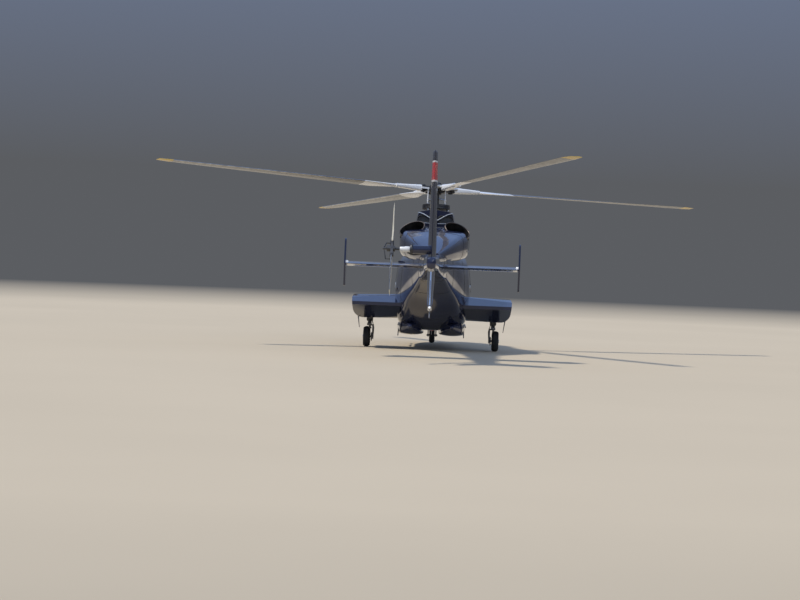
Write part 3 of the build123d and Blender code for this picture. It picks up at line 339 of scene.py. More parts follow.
class Shape:
    """Collects like forms into one piece."""

    def __init__(self):
        self.points = []
        self.faces = []
        self.tags = []
        self.tag = 0

    def add(self, points, faces, place=None):
        base = len(self.points)
        self.points += [place @ Vector(point) if place else Vector(point) for point in points]
        self.faces += [[base + i for i in face] for face in faces]
        self.tags += [self.tag] * len(faces)
        return self

    def rings(self, rings, closed_ends=True, place=None, looped=False):
        """Skins equal rings of points, one after the other."""
        count = len(rings[0])
        points = [point for ring in rings for point in ring]
        faces = []
        pairs = len(rings) if looped else len(rings) - 1
        for k in range(pairs):
            near = k * count
            far = ((k + 1) % len(rings)) * count
            for i in range(count):
                j = (i + 1) % count
                faces.append([near + i, near + j, far + j, far + i])
        if closed_ends and not looped:
            faces.append(list(range(count))[::-1])
            faces.append([(len(rings) - 1) * count + i for i in range(count)])
        return self.add(points, faces, place)

    def lathe(self, profile, place, steps=40):
        """Turns (radius, height) points about the place's Z axis; ends on the axis close it."""
        rings = [oval(max(radius, 1e-5), max(radius, 1e-5), height, steps)
                 for radius, height in profile]
        return self.rings(rings, True, place)

    def studs(self, profile, place, circle, count):
        """Six-sided bolt heads round a circle."""
        for x, y, _ in oval(circle, circle, 0, count):
            self.lathe(profile, place @ at(x, y), 6)

    def tube(self, path, radius, sides=10, looped=False, flat=1.0, normal=None, place=None):
        """A round or flattened rod along a path of points."""
        path = [place @ Vector(point) if place else Vector(point) for point in path]
        rings = []
        upward = Vector(normal) if normal else Vector((0, 0, 1))
        last = len(path) - 1
        for k, point in enumerate(path):
            before = path[k - 1] if k or looped else point
            after = path[(k + 1) % len(path)] if k < last or looped else point
            along = (after - before).normalized()
            across = along.cross(upward)
            if across.length < 0.1:
                across = along.cross(Vector((0, 1, 0)))
            across.normalize()
            up = across.cross(along).normalized()
            rings.append([
                point + across * radius * math.cos(turn) + up * radius * flat * math.sin(turn)
                for turn in turns(sides)
            ])
        return self.rings(rings, True, None, looped)

    def box(self, centre, size, place=None):
        """A block with chamfered edges."""
        x, y, z = (part / 2 for part in size)
        c = 0.18 * min(x, y)
        ring = [
            (x, y - c), (x - c, y), (c - x, y), (-x, y - c),
            (-x, c - y), (c - x, -y), (x - c, -y), (x, c - y),
        ]
        shrink = 1 - c / max(x, y)
        levels = [(-z, shrink), (c - z, 1.0), (z - c, 1.0), (z, shrink)]
        rings = [
            [(centre[0] + a * k, centre[1] + b * k, centre[2] + level) for a, b in ring]
            for level, k in levels
        ]
        return self.rings(rings, True, place)

    def piece(self, name, material, body="airframe", sharp=35, slot=None):
        mesh = bpy.data.meshes.new(name)
        mesh.from_pydata([tuple(point) for point in self.points], [], self.faces)
        mesh.polygons.foreach_set("material_index", self.tags)
        return finished(mesh, name, material, body, sharp, slot)


def finished(mesh, name, material, body, sharp=35, slot=None):
    """Turns a mesh into a piece with soft shading up to an angle between faces."""
    work = bmesh.new()
    work.from_mesh(mesh)
    bmesh.ops.remove_doubles(work, verts=work.verts, dist=1e-5)
    bmesh.ops.recalc_face_normals(work, faces=work.faces)
    for face in work.faces:
        face.smooth = True
    for edge in work.edges:
        edge.smooth = len(edge.link_faces) == 2 and edge.calc_face_angle(0) < math.radians(sharp)
    work.to_mesh(mesh)
    work.free()
    made = linked(name, mesh)
    names = material if isinstance(material, list) else [material]
    for each in names:
        mesh.materials.append(M[each])
    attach(made, body)
    slot = slot or SLOT.get(names[0])
    return made


def frame_at(origin, z_axis, x_axis=(1, 0, 0)):
    """A place whose Z runs along z_axis and whose X is as near x_axis as can be."""
    z = Vector(z_axis).normalized()
    x = Vector(x_axis)
    if abs(x.normalized().dot(z)) > 0.99:
        x = Vector((0, 1, 0))
    x = (x - z * x.dot(z)).normalized()
    return at(*origin) @ axes(x, z.cross(x), z)


# Skins: ahead of the mast, half width, top, bottom, height of the widest point
HULL = [
    (4600, 50, 1135, 1035, 1080),
    (4520, 150, 1210, 935, 1075),
    (4380, 250, 1300, 840, 1072),
    (4150, 375, 1415, 715, 1070),
    (3800, 515, 1560, 595, 1078),
    (3300, 655, 1765, 485, 1100),
    (2850, 735, 2010, 430, 1125),
    (2450, 785, 2125, 405, 1145),
    (1700, 812, 2170, 400, 1150),
    (-300, 812, 2170, 400, 1150),
    (-900, 790, 2150, 430, 1170),
    (-1300, 715, 2135, 560, 1260),
    (-1700, 625, 2118, 790, 1400),
    (-2200, 480, 2098, 1120, 1580),
    (-3000, 300, 2060, 1470, 1765),
]
BOOM = [
    (-3000, 300, 2060, 1470, 1765),
    (-4500, 240, 2035, 1555, 1800),
    (-6200, 185, 2018, 1645, 1832),
    (-7500, 150, 2012, 1710, 1860),
    (-8120, 90, 1995, 1768, 1882),
]
PYLON = [
    (2150, 250, 2230, 1990, 2080),
    (1650, 390, 2430, 1990, 2150),
    (1000, 455, 2690, 1990, 2230),
    (350, 475, 2935, 1990, 2300),
    (-200, 465, 2990, 1990, 2330),
    (-750, 430, 2990, 1990, 2330),
]
COWL = [
    (520, 600, 2400, 1950, 2220),
    (250, 700, 2550, 1950, 2270),
    (-600, 745, 2640, 1930, 2300),
    (-1500, 735, 2620, 1900, 2290),
    (-2300, 540, 2450, 1880, 2190),
    (-3500, 120, 2075, 1880, 1985),
]
BELLY_LOBE = [
    (450, 60, 430, 370, 400),
    (150, 220, 560, 325, 440),
    (-500, 290, 600, 300, 450),
    (-1050, 230, 620, 330, 460),
    (-1350, 60, 560, 440, 500),
]
BELLY_LOBE_LEFT = 0.44
CROWN_DEG = 12
SIDE_DEG = 78
CORNER_SHARE = 0.45
PYLON_CORNER_SHARE = 0.25
UPRIGHT_SHARE = 0.08
FRAME_TURNS = (0, CROWN_DEG, 28.5, 45, 61.5, SIDE_DEG, 90)
FINE_TURNS = np.linspace(0, 90, 61)
STEP = 0.02


def eased(places, values):
    """Slopes of a curve through the values that never overshoots them."""
    gaps = np.diff(places)
    rises = np.diff(values) / gaps
    slopes = np.zeros(len(values))
    for i in range(1, len(values) - 1):
        if rises[i - 1] * rises[i] > 0:
            first = 2 * gaps[i] + gaps[i - 1]
            second = gaps[i] + 2 * gaps[i - 1]
            slopes[i] = (first + second) / (first / rises[i - 1] + second / rises[i])
    slopes[0] = rises[0]
    slopes[-1] = rises[-1]
    return slopes


def curve_through(places, values, where):
    places = np.asarray(places, float)
    values = np.asarray(values, float)
    slopes = eased(places, values)
    k = np.clip(np.searchsorted(places, where) - 1, 0, len(places) - 2)
    gap = places[k + 1] - places[k]
    t = np.clip((where - places[k]) / gap, 0, 1)
    return (
        values[k] * (1 + 2 * t) * (1 - t) ** 2
        + slopes[k] * gap * t * (1 - t) ** 2
        + values[k + 1] * t * t * (3 - 2 * t)
        + slopes[k + 1] * gap * t * t * (t - 1)
    )


def quarter(half_width, height, corner_share, turns):
    """Points of one quarter of a frame, from its crown round to its side."""
    a = math.radians(CROWN_DEG)
    b = math.radians(SIDE_DEG)
    corner = corner_share * min(half_width, height)
    across = half_width - corner * (math.sin(b) - math.sin(a))
    along = height - corner * (math.cos(a) - math.cos(b))
    m11, m12 = math.sin(a), 1 - math.sin(b)
    m21, m22 = 1 - math.cos(a), math.cos(b)
    det = m11 * m22 - m12 * m21
    crown = (across * m22 - m12 * along) / det
    side = (m11 * along - across * m21) / det
    crown_centre = (0, height - crown)
    corner_centre = (
        (crown - corner) * math.sin(a),
        crown_centre[1] + (crown - corner) * math.cos(a),
    )
    points = []
    for turn in turns:
        centre, radius = (
            (crown_centre, crown) if turn <= CROWN_DEG else
            (corner_centre, corner) if turn <= SIDE_DEG else
            ((half_width - side, 0), side)
        )
        angle = math.radians(turn)
        points.append((centre[0] + radius * math.sin(angle), centre[1] + radius * math.cos(angle)))
    return points


def half_frame(half_width, top, bottom, widest, corner_share, turns):
    """Left half of a frame as (left, height) points in metres, from its top to its bottom."""
    upright = UPRIGHT_SHARE * min(top - widest, widest - bottom)
    high = widest + upright
    low = widest - upright
    upper = quarter(half_width, top - high, corner_share, turns)
    lower = quarter(half_width, low - bottom, corner_share, turns)
    points = [(y, high + z) for y, z in upper] + [(y, low - z) for y, z in reversed(lower)]
    return np.array(points) * MM


class Skin:
    """The rounded surface that a faceted skin of the CAD stands for."""

    def __init__(self, stations, corner_share=CORNER_SHARE, left=0.0, nose_dome=0.0):
        rows = sorted(stations)
        self.left = left
        self.dome = nose_dome
        self.places = np.array([st(row[0]) for row in rows])
        self.table = np.array([row[1:] for row in rows], float)
        coarse = [half_frame(*row[1:], corner_share, FRAME_TURNS) for row in rows]
        count = int((self.places[-1] - self.places[0]) / STEP) + 2
        self.where = np.linspace(self.places[0], self.places[-1], count)
        self.angles = np.linspace(0, math.pi, 361)
        self.centre = np.interp(self.where, self.places, self.table[:, 3]) * MM
        flat_rows = []
        round_rows = []
        smooth = np.array([
            curve_through(self.places, self.table[:, i], self.where) for i in range(4)
        ]).T
        for n, x in enumerate(self.where):
            k = min(max(int(np.searchsorted(self.places, x)) - 1, 0), len(rows) - 2)
            t = (x - self.places[k]) / (self.places[k + 1] - self.places[k])
            flat = coarse[k] * (1 - t) + coarse[k + 1] * t
            flat_rows.append(self.reach(flat, self.centre[n]))
            fine = half_frame(*smooth[n], corner_share, FINE_TURNS)
            round_rows.append(self.reach(fine, self.centre[n]))
        self.flat = np.array(flat_rows)
        self.round = np.array(round_rows)

    def reach(self, points, centre):
        """Distance from the centre to the frame at each angle."""
        dense = np.concatenate([
            points[:-1] + (points[1:] - points[:-1]) * share for share in np.linspace(0, 0.9, 10)
        ]).reshape(10, len(points) - 1, 2).transpose(1, 0, 2).reshape(-1, 2)
        dense = np.vstack([dense, points[-1:]])
        angle = np.arctan2(dense[:, 0], dense[:, 1] - centre)
        return np.interp(self.angles, angle, np.hypot(dense[:, 0], dense[:, 1] - centre))

    def look_up(self, grid, x, angle):
        u = np.clip((x - self.where[0]) / (self.where[1] - self.where[0]), 0, len(self.where) - 1.001)
        v = np.clip(angle / self.angles[1], 0, len(self.angles) - 1.001)
        i, j = u.astype(int), v.astype(int)
        a, b = u - i, v - j
        return (
            grid[i, j] * (1 - a) * (1 - b) + grid[i + 1, j] * a * (1 - b)
            + grid[i, j + 1] * (1 - a) * b + grid[i + 1, j + 1] * a * b
        )

    def rounded(self, points):
        """Moves points of the faceted skin out or in to the rounded one."""
        moved = points.copy()
        centre = np.interp(points[:, 0], self.where, self.centre)
        y = points[:, 1] - self.left
        z = points[:, 2] - centre
        length = np.maximum(np.hypot(y, z), 1e-6)
        angle = np.arctan2(np.abs(y), z)
        flat = self.look_up(self.flat, points[:, 0], angle)
        shift = self.look_up(self.round, points[:, 0], angle) - flat
        shift *= np.minimum(1, length / flat)
        moved[:, 1] += shift * y / length
        moved[:, 2] += shift * z / length
        if self.dome:
            tip = np.clip((points[:, 0] - self.places[-2]) / (self.places[-1] - self.places[-2]), 0, 1)
            inward = np.clip(1 - (length / np.maximum(flat, 1e-6)) ** 2, 0, 1)
            moved[:, 0] += self.dome * tip ** 2 * inward
        return moved

    def centre_at(self, x):
        return float(np.interp(x, self.where, self.centre))

    def reach_at(self, x, angles):
        return self.look_up(self.round, np.full(len(angles), x), angles)

    def left_at(self, x, height):
        """How far left the rounded skin reaches at a height."""
        angles = np.linspace(0.02, math.pi - 0.02, 400)
        reach = self.reach_at(x, angles)
        heights = self.centre_at(x) + reach * np.cos(angles)
        return self.left + float(np.interp(-height, -heights, reach * np.sin(angles)))

    def height_at(self, x, y, below=False):
        """How high or low the rounded skin is at a distance to the left."""
        angles = np.linspace(0, math.pi / 2, 300)
        if below:
            angles = math.pi - angles
        reach = self.reach_at(x, angles)
        rise = np.interp(abs(y - self.left), reach * np.sin(angles), reach * np.cos(angles))
        return self.centre_at(x) + float(rise)

    def ring_at(self, x, low_deg, high_deg, side):
        """Points round the rounded skin at a station, between two angles from its top."""
        angles = np.radians(np.linspace(low_deg, high_deg, 40))
        return [
            (x, self.left + side * r * math.sin(a), self.centre_at(x) + r * math.cos(a))
            for r, a in zip(self.reach_at(x, angles), angles)
        ]


hull = Skin(HULL, nose_dome=0.045)
boom = Skin(BOOM)
pylon = Skin(PYLON, PYLON_CORNER_SHARE)
cowl = Skin(COWL)
lobes = {side: Skin(BELLY_LOBE, left=side * BELLY_LOBE_LEFT) for side in (1, -1)}


def dense_copy(node, longest):
    """A copy of a CAD node's mesh whose edges are no longer than asked."""
    mesh = frame["nodes"][node].data.copy()
    mesh.materials.clear()
    work = bmesh.new()
    work.from_mesh(mesh)
    for layer in list(work.loops.layers.uv):
        work.loops.layers.uv.remove(layer)
    bmesh.ops.remove_doubles(work, verts=work.verts, dist=2e-5)
    bmesh.ops.dissolve_limit(
        work, angle_limit=math.radians(0.5), verts=work.verts, edges=work.edges
    )
    bmesh.ops.triangulate(work, faces=work.faces)
    for _ in range(7):
        long_ones = [edge for edge in work.edges if edge.calc_length() > longest]
        if not long_ones:
            break
        bmesh.ops.subdivide_edges(work, edges=long_ones, cuts=1)
        bmesh.ops.triangulate(work, faces=[face for face in work.faces if len(face.verts) > 3])
    bmesh.ops.beautify_fill(work, faces=work.faces, edges=[
        edge for edge in work.edges
        if len(edge.link_faces) == 2 and edge.calc_face_angle(1) < math.radians(0.5)
    ])
    work.to_mesh(mesh)
    work.free()
    return mesh


def clear_split_normals(mesh):
    for name in ("custom_normal", "sharp_face", "sharp_edge"):
        if name in mesh.attributes:
            mesh.attributes.remove(mesh.attributes[name])


SIDE_HINGE_HEIGHTS = (0.96, 1.38)
BAGGAGE_HINGES_AHEAD = (-900, -1250)
HINGE_NEAR = 0.022
HINGE_FAR = 0.05
HINGE_LENGTH = 0.07


def hinge_spots():
    """Each hinge's centre and axis, from the doors' joints."""
    spots = []
    for joint in JOINTS.values():
        place = Vector(joint["pos_m"])
        if "door" in joint["name"] and "baggage" not in joint["name"]:
            spots += [((place.x, place.y, z), 2) for z in SIDE_HINGE_HEIGHTS]
        elif "baggage" in joint["name"]:
            spots += [((st(ahead), place.y, place.z), 0) for ahead in BAGGAGE_HINGES_AHEAD]
    return spots


def off_hinges(points):
    """Nought at the hinges, which stay as packed so that they turn freely, and one elsewhere."""
    share = np.ones(len(points))
    for centre, axis in hinge_spots():
        apart = points - np.array(centre)
        along = np.abs(apart[:, axis])
        apart[:, axis] = 0
        round_it = np.clip((np.linalg.norm(apart, axis=1) - HINGE_NEAR) / (HINGE_FAR - HINGE_NEAR),
                           0, 1)
        past_it = np.clip((along - HINGE_LENGTH / 2 - 0.005) / 0.02, 0, 1)
        share *= np.maximum(round_it, past_it)
    return share[:, None]


SKIN_EDGE = 0.07


def skinned(node, skin, material, body):
    """Stands a rounded, finely divided piece in place of a faceted node."""
    mesh = dense_copy(node, SKIN_EDGE)
    clear_split_normals(mesh)
    count = len(mesh.vertices)
    points = np.zeros(count * 3)
    mesh.vertices.foreach_get("co", points)
    points = points.reshape(-1, 3)
    if isinstance(skin, dict):
        moved = np.where(points[:, 1:2] > 0, skin[1].rounded(points), skin[-1].rounded(points))
    else:
        moved = skin.rounded(points)
    moved = points + (moved - points) * off_hinges(points)
    mesh.vertices.foreach_set("co", moved.ravel())
    mesh.update()
    made = finished(mesh, f"{node}_skin", material, body, sharp=28)
    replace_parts(made, node)


# Skin, material and the nodes that follow it
SKINNED = [
    (hull, "paint", ("nose_shell", "belly_shell", "cabin_side_left", "cabin_side_right",
                     "cabin_roof", "aft_fuselage")),
    (hull, "glass", ("windshield", "cabin_windows")),
    (hull, "paint", ("crew_door_left", "crew_door_right")),
    (hull, "glass", ("crew_door_glass_left", "crew_door_glass_right")),
    (hull, "paint", ("cabin_door_left", "cabin_door_right")),
    (hull, "glass", ("cabin_door_glass_left", "cabin_door_glass_right")),
    (hull, "paint", ("baggage_door",)),
    (pylon, "paint", ("pylon_fairing",)),
    (cowl, "paint", ("engine_cowling",)),
    (boom, "paint", ("tail_boom",)),
    (lobes, "paint", ("belly_fairings",)),
]
for skin, material, nodes in SKINNED:
    for node in nodes:
        body = node.replace("_glass", "") if "door" in node else "airframe"
        skinned(node, skin, material, body)

# Nodes that stay as they are: material, edge rounding in metres
DRESSED = {
    "cabin_floor": ("carpet", 0), "bulkheads": ("trim", 0), "instrument_panel": ("trim", 0.008),
    "exhausts": ("pipe", 0.003), "main_gearbox": ("metal", 0.012), "engines": ("metal", 0.02),
    "swashplate_fixed": ("steel", 0.005), "rotor_mast": ("steel", 0.005),
    # The blade cuffs take the pale root colour, a painted highlight standing for sun glint.
    "rotor_hub": ("steel", 0.01), "blade_cuffs": ("root", 0.006),
    "end_plates": ("paint", 0.008), "tail_gearbox": ("paint", 0.008),
    "tail_rotor_hub": ("steel", 0.005), "sponsons": ("paint", 0.06),
    "main_legs": ("gear", 0.005), "gear_doors": ("paint", 0.004),
    "main_tyre_left": ("rubber", 0.006), "main_tyre_right": ("rubber", 0.006),
    "nose_tyre": ("rubber", 0.006), "main_rim_left": ("bright", 0.003),
    "main_rim_right": ("bright", 0.003), "nose_rim": ("bright", 0.003),
    "nose_leg": ("gear", 0.004), "nose_fork": ("gear", 0.005), "nose_wheel_bay": ("grey", 0),
    "jack_pads": ("metal", 0.002),
}


def dressed(node, material, rounding):
    """Gives a CAD node its material and soft edges; its vertices stay as packed."""
    piece = frame["nodes"][node]
    piece.data.materials.clear()
    piece.data.materials.append(M[material])
    clear_split_normals(piece.data)
    piece.data.shade_smooth()
    weld = piece.modifiers.new("weld", "WELD")
    weld.merge_threshold = 2e-5
    if rounding:
        bevel = piece.modifiers.new("rounded", "BEVEL")
        bevel.width = rounding
        bevel.segments = 3
        bevel.limit_method = "ANGLE"
        bevel.angle_limit = math.radians(32)
        bevel.use_clamp_overlap = True
    evened = piece.modifiers.new("evened", "WEIGHTED_NORMAL")
    evened.keep_sharp = True
    evened.weight = 80


for node, (material, rounding) in DRESSED.items():
    dressed(node, material, rounding)


# Blades and fins
AEROFOIL_SHARES = (0, 0.02, 0.1, 0.3, 0.6, 1)
AEROFOIL_HALVES = (0, 0.2, 0.38, 0.5, 0.36, 0.04)
SECTION_COUNT = 18
NOSE_SHARE = 0.1
ROUND_STEPS = 4


def section(chord, thickness, pivot_share):
    """A rounded aerofoil from its nose over the top to its tail and back below."""
    root = np.linspace(0, 1, SECTION_COUNT)
    halves = curve_through(np.sqrt(AEROFOIL_SHARES), AEROFOIL_HALVES, root)
    front = pivot_share * chord
    upper = [
        (front - share * chord, half * thickness) for share, half in zip(root ** 2, halves)
    ]
    return upper + [(x, -y) for x, y in reversed(upper[1:])]


def aerofoil_rings(shape, sections, place_of, pivot_share, pieces=6, place=None, round_end=0.0,
                   tags=(0, 0)):
    """Skins sections (position, chord, thickness, twist); the tags mark skin and leading edge."""
    rows = []
    for near, far in zip(sections, sections[1:]):
        rows += [
            [a + (b - a) * k / pieces for a, b in zip(near, far)] for k in range(pieces)
        ]
    rows.append(list(sections[-1]))
    if round_end:
        tip = rows.pop()
        reach = round_end * (1 if tip[0] > rows[0][0] else -1)
        for k in range(ROUND_STEPS + 1):
            turn = math.pi / 2 * k / ROUND_STEPS
            rows.append([
                tip[0] - reach * (1 - math.sin(turn)),
                tip[1] * (1 - 0.12 * (1 - math.cos(turn))),
                tip[2] * max(math.cos(turn), 0.25),
                tip[3],
            ])
    rings = []
    for position, chord, thickness, twist in rows:
        local = place_of(position, twist)
        rings.append([local @ Vector((x, y, 0)) for x, y in section(chord, thickness, pivot_share)])
    shape.tag = tags[0]
    start = len(shape.faces)
    shape.rings(rings, True, place)
    count = len(rings[0])
    nose = [
        i for i in range(count)
        if min(i, count - 1 - i) < SECTION_COUNT * math.sqrt(NOSE_SHARE)
    ]
    for k in range(len(rings) - 1):
        for i in nose:
            shape.tags[start + k * count + i] = tags[1]


def across_blade(out, twist):
    angle = math.radians(twist)
    return frame_at((out, 0, 0), (1, 0, 0), (0, math.cos(angle), math.sin(angle)))


def across_fin(height, rear):
    return at(rear, 0, height)


def across_stabilizer(left, _):
    turned = axes((1, 0, 0), (0, 0, 1), (0, -1, 0))
    return at(st(STABILIZER_AHEAD), left, STABILIZER_HEIGHT) @ turned


ROTOR_PARK_DEG = 25.9
MAST_TILT_DEG = 5
PRECONE_DEG = 0.9
BLADE_COUNT = 4
ROOT_END = 1.75
TIP_START = 6.1
# Distance out, chord, thickness, twist
BLADE = [
    (1.0, 0.19, 0.06, 9),
    (1.5, 0.36, 0.042, 9),
    (6.07, 0.36, 0.0336, 0),
    (6.4, 0.2448, 0.0189, 0),
]
TAIL_BLADE = [
    (0.15, 0.12, 0.036, 8),
    (0.33, 0.2, 0.024, 8),
    (1.05, 0.2, 0.0192, 2),
]
TAIL_TURN_DEG = 42
FIN_TOP = 3.95
# Height, chord, thickness, and how far the trailing edge is ahead of the mast
UPPER_FIN = [
    (1.93, 1.18, 0.16, -8080),
    (2.39, 0.92, 0.152, -8250),
    (FIN_TOP, 0.62, 0.09, -8950),
]
VENTRAL_FIN = [
    (1.88, 0.8, 0.16, -8080),
    (0.985, 0.48, 0.09, -8430),
]
STABILIZER_AHEAD = -5300
STABILIZER_HEIGHT = 1.805
STABILIZER_HALF = 1.68

ROTOR = at(*MAST) @ turn_by(MAST_TILT_DEG, "Y")


def on_rotor(number, cone=0.0):
    """The place of one blade's root axis: X out along the blade, Z up the mast."""
    azimuth = ROTOR_PARK_DEG + number * 360 / BLADE_COUNT
    return ROTOR @ turn_by(azimuth, "Z") @ turn_by(-cone, "Y")


def blade_between(low, high):
    """The blade's sections from one distance out to another."""
    outs = [row[0] for row in BLADE]
    inner = [row for row in BLADE if low < row[0] < high]
    ends = [
        tuple([out] + [float(np.interp(out, outs, [row[i] for row in BLADE])) for i in (1, 2, 3)])
        for out in (low, high)
    ]
    return [ends[0], *inner, ends[1]]


roots, skins, tips = Shape(), Shape(), Shape()
for number in range(BLADE_COUNT):
    place = on_rotor(number, PRECONE_DEG)
    aerofoil_rings(roots, blade_between(BLADE[0][0], ROOT_END), across_blade, 0.25, 4, place)
    aerofoil_rings(skins, blade_between(ROOT_END, TIP_START), across_blade, 0.25, 6, place,
                   tags=(0, 1))
    aerofoil_rings(tips, blade_between(TIP_START, BLADE[-1][0]), across_blade, 0.25, 3, place,
                   round_end=0.02)
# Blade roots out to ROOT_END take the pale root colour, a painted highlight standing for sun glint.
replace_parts(roots.piece("blade_roots", "root", "main_rotor"), "main_blades")
skins.piece("blade_skins", ["blade", "erosion"], "main_rotor")
tips.piece("blade_tips", "yellow", "main_rotor")

TAIL_HUB = Vector(JOINTS["tail_rotor_turn"]["pos_m"])
TAIL = frame_at(TAIL_HUB, (0, 1, 0), turn_by(TAIL_TURN_DEG, "Y") @ Vector((0, 0, 1)))
tail_skins = Shape()
for turn in (0, 180):
    aerofoil_rings(tail_skins, TAIL_BLADE, across_blade, 0.25, 6, TAIL @ turn_by(turn, "Z"),
                   round_end=0.012, tags=(0, 1))
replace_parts(tail_skins.piece("tail_blade_skins", ["cream", "erosion"], "tail_rotor"),
            "tail_blades")

# Fins stand on the boom: their sections sit at the trailing edge
for name, node, rows, material in (
    ("upper_fin_skin", "upper_fin", UPPER_FIN, "fin_paint"),
    ("ventral_fin_skin", "ventral_fin", VENTRAL_FIN, "paint"),
):
    fin_shape = Shape()
    aerofoil_rings(
        fin_shape,
        [(height, chord, thick, st(rear)) for height, chord, thick, rear in rows],
        across_fin, 1.0, 8, round_end=0.03,
    )
    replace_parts(fin_shape.piece(name, material), node)
tailplane = Shape()
aerofoil_rings(
    tailplane,
    [(side * STABILIZER_HALF, 0.72, 0.095, 0) for side in (-1, 1)],
    across_stabilizer, 0.25, 10,
)
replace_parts(tailplane.piece("stabilizer_skin", "paint"), "stabilizer")


# Rotor head: radii and heights along the mast, or distances out along a blade
LINK_AHEAD = 0.249
LINK_LEFT = 0.0906
DAMPER_LEFT = -LINK_LEFT * 1.1
head, bolts, bearings, links = Shape(), Shape(), Shape(), Shape()
head.lathe([(0.09, 0.13), (0.088, 0.142), (0.06, 0.158), (0.0, 0.164)], ROTOR)
head.lathe([(0.1, -0.115), (0.1, -0.085)], ROTOR)
bolts.studs([(0.011, 0.085), (0.011, 0.1), (0.008, 0.104), (0, 0.104)], ROTOR, 0.118, 12)
for number in range(BLADE_COUNT):
    place = on_rotor(number, PRECONE_DEG)
    for out, radius in ((0.31, 0.088), (0.335, 0.084), (0.36, 0.08)):
        bearings.lathe(bead(out, (radius - 0.02, 0.01), (radius, 0.008)), place @ turn_by(90, "Y"), 28)
    for out, tall in ((0.43, 0.062), (0.52, 0.062), (0.9, 0.042), (0.97, 0.042)):
        for left in (-0.055, 0.055):
            bolts.lathe([(0.016, -tall), (0.016, tall), (0.01, tall + 0.006), (0, tall + 0.006)],
                        place @ at(out, left), 6)
    links.tube([(0.12, DAMPER_LEFT, 0.03), (0.44, DAMPER_LEFT - 0.02, 0.02)], 0.026, 14,
               place=place)
    links.tube([(0.19, DAMPER_LEFT - 0.005, 0.03), (0.33, DAMPER_LEFT - 0.012, 0.025)], 0.038, 16,
               place=place)
    for height in (-0.03, -0.325):
        links.lathe(bead(height, (0, 0.022), (0.014, 0.02), (0.024, 0.01)),
                    on_rotor(number) @ at(LINK_AHEAD, LINK_LEFT), 16)
for turn in (60, 240):
    arm = ROTOR @ turn_by(turn, "Z")
    elbow = (0.2, 0.02, -0.24)
    links.tube([(0.07, 0, -0.2), elbow], 0.018, 10, place=arm)
    links.tube([elbow, (0.22, 0, -0.34)], 0.018, 10, place=arm)
    links.lathe(bead(0, (0, 0.03), (0.028, 0.028)), arm @ at(*elbow) @ turn_by(90, "X"), 14)
head.piece("hub_cap", "steel", "main_rotor")
bolts.piece("hub_bolts", "bright", "main_rotor", sharp=25, slot="bare_steel")
bearings.piece("blade_bearings", "seal", "main_rotor")
links.piece("rotor_links", "metal", "main_rotor", slot="bare_steel")

# Fixed controls below the swashplate
SERVO_REACH = 0.26
controls = Shape()
for turn in (20, 140, 260):
    spot = ROTOR @ turn_by(turn, "Z")
    controls.tube([(SERVO_REACH, 0, -0.43), (SERVO_REACH * 0.75, 0, -0.72)], 0.02, 12, place=spot)
    controls.lathe([(0, -0.48), (0.03, -0.475), (0.03, -0.44), (0, -0.436)],
                   spot @ at(SERVO_REACH), 14)
controls.piece("servo_rods", "metal")

# Tail rotor head, and the gearbox flange and shaft sleeve behind it
tail_head, tail_mount, sleeve = Shape(), Shape(), Shape()
tail_head.lathe([(0.0, 0.17), (0.022, 0.168), (0.022, 0.1), (0.055, 0.09), (0.055, 0.06)], TAIL, 24)
for side, _ in SIDES:
    tail_head.tube([(side * 0.035, 0, 0.14), (side * 0.2, 0.07, 0.11), (side * 0.2, 0.07, 0.02)],
                   0.01, 8, normal=(0, 1, 0.3), place=TAIL)
    tail_head.box((side * 0.14, 0, 0), (0.09, 0.07, 0.07), TAIL)
tail_head.piece("tail_rotor_links", "steel", "tail_rotor")
behind = frame_at((TAIL_HUB.x, 0, TAIL_HUB.z), (0, 1, 0))
tail_mount.lathe([(0.0, 0.36), (0.105, 0.362), (0.11, 0.372), (0.11, 0.388), (0.105, 0.398),
                  (0.06, 0.4), (0.055, 0.408), (0, 0.409)], behind, 32)
tail_mount.studs(nut(0.009, 0.38, 0.41), behind, 0.09, 8)
tail_mount.tube([(0.05, 0.075, 0.12), (0.04, 0.1, 0.34), (0.03, 0.06, 0.46)], 0.014, 8, place=behind)
tail_mount.piece("tail_gearbox_flange", "steel")
sleeve.lathe([(0.0, 0.41), (0.05, 0.412), (0.054, 0.42), (0.054, 0.5), (0.046, 0.52),
              (0.046, 0.59), (0.04, 0.6), (0.026, 0.601)], behind, 32)
sleeve.piece("tail_shaft_sleeve", "root")

# Rounded ends of the boom and of the belly fairings
END_ROUND = 0.075
ends = Shape()


def round_off(row, length, left, steps):
    """Closes a skin's last frame with a rounded end."""
    ahead, *measures = row
    half = half_frame(*measures, CORNER_SHARE, np.linspace(0, 90, steps))
    outline = [(y, z) for y, z in half] + [(-y, z) for y, z in half[-2:0:-1]]
    middle = measures[3] * MM
    ends.rings([
        [(st(ahead) + 0.002 - length * math.sin(turn), left + y * math.cos(turn),
          middle + (z - middle) * math.cos(turn)) for y, z in outline]
        for turn in between(0, 0.97 * math.pi / 2, 8)
    ])


round_off(BOOM[-1], END_ROUND, 0, 13)
for side, _ in SIDES:
    round_off(BELLY_LOBE[-1], END_ROUND * 1.3, side * BELLY_LOBE_LEFT, 9)
ends.piece("rounded_ends", "paint")

# Drive shaft cover along the boom
SHAFT_COVER = (-3350, -7000)
COVER_BAYS = 24
COVER_HALF = 0.075
COVER_HIGH = 0.085
cover_rings = []
for k, ahead in enumerate(between(*SHAFT_COVER, COVER_BAYS)):
    swell = 1 if 0 < k < COVER_BAYS else 0.6
    base = boom.height_at(st(ahead), 0.0) - 0.03
    cover_rings.append([
        (st(ahead), COVER_HALF * swell * math.cos(turn),
         base + COVER_HIGH * swell * abs(math.sin(turn)) ** 0.8)
        for turn in between(0, math.pi, 16)
    ] + [(st(ahead), 0, base - 0.02)])
Shape().rings(cover_rings).piece("drive_shaft_cover", "paint")


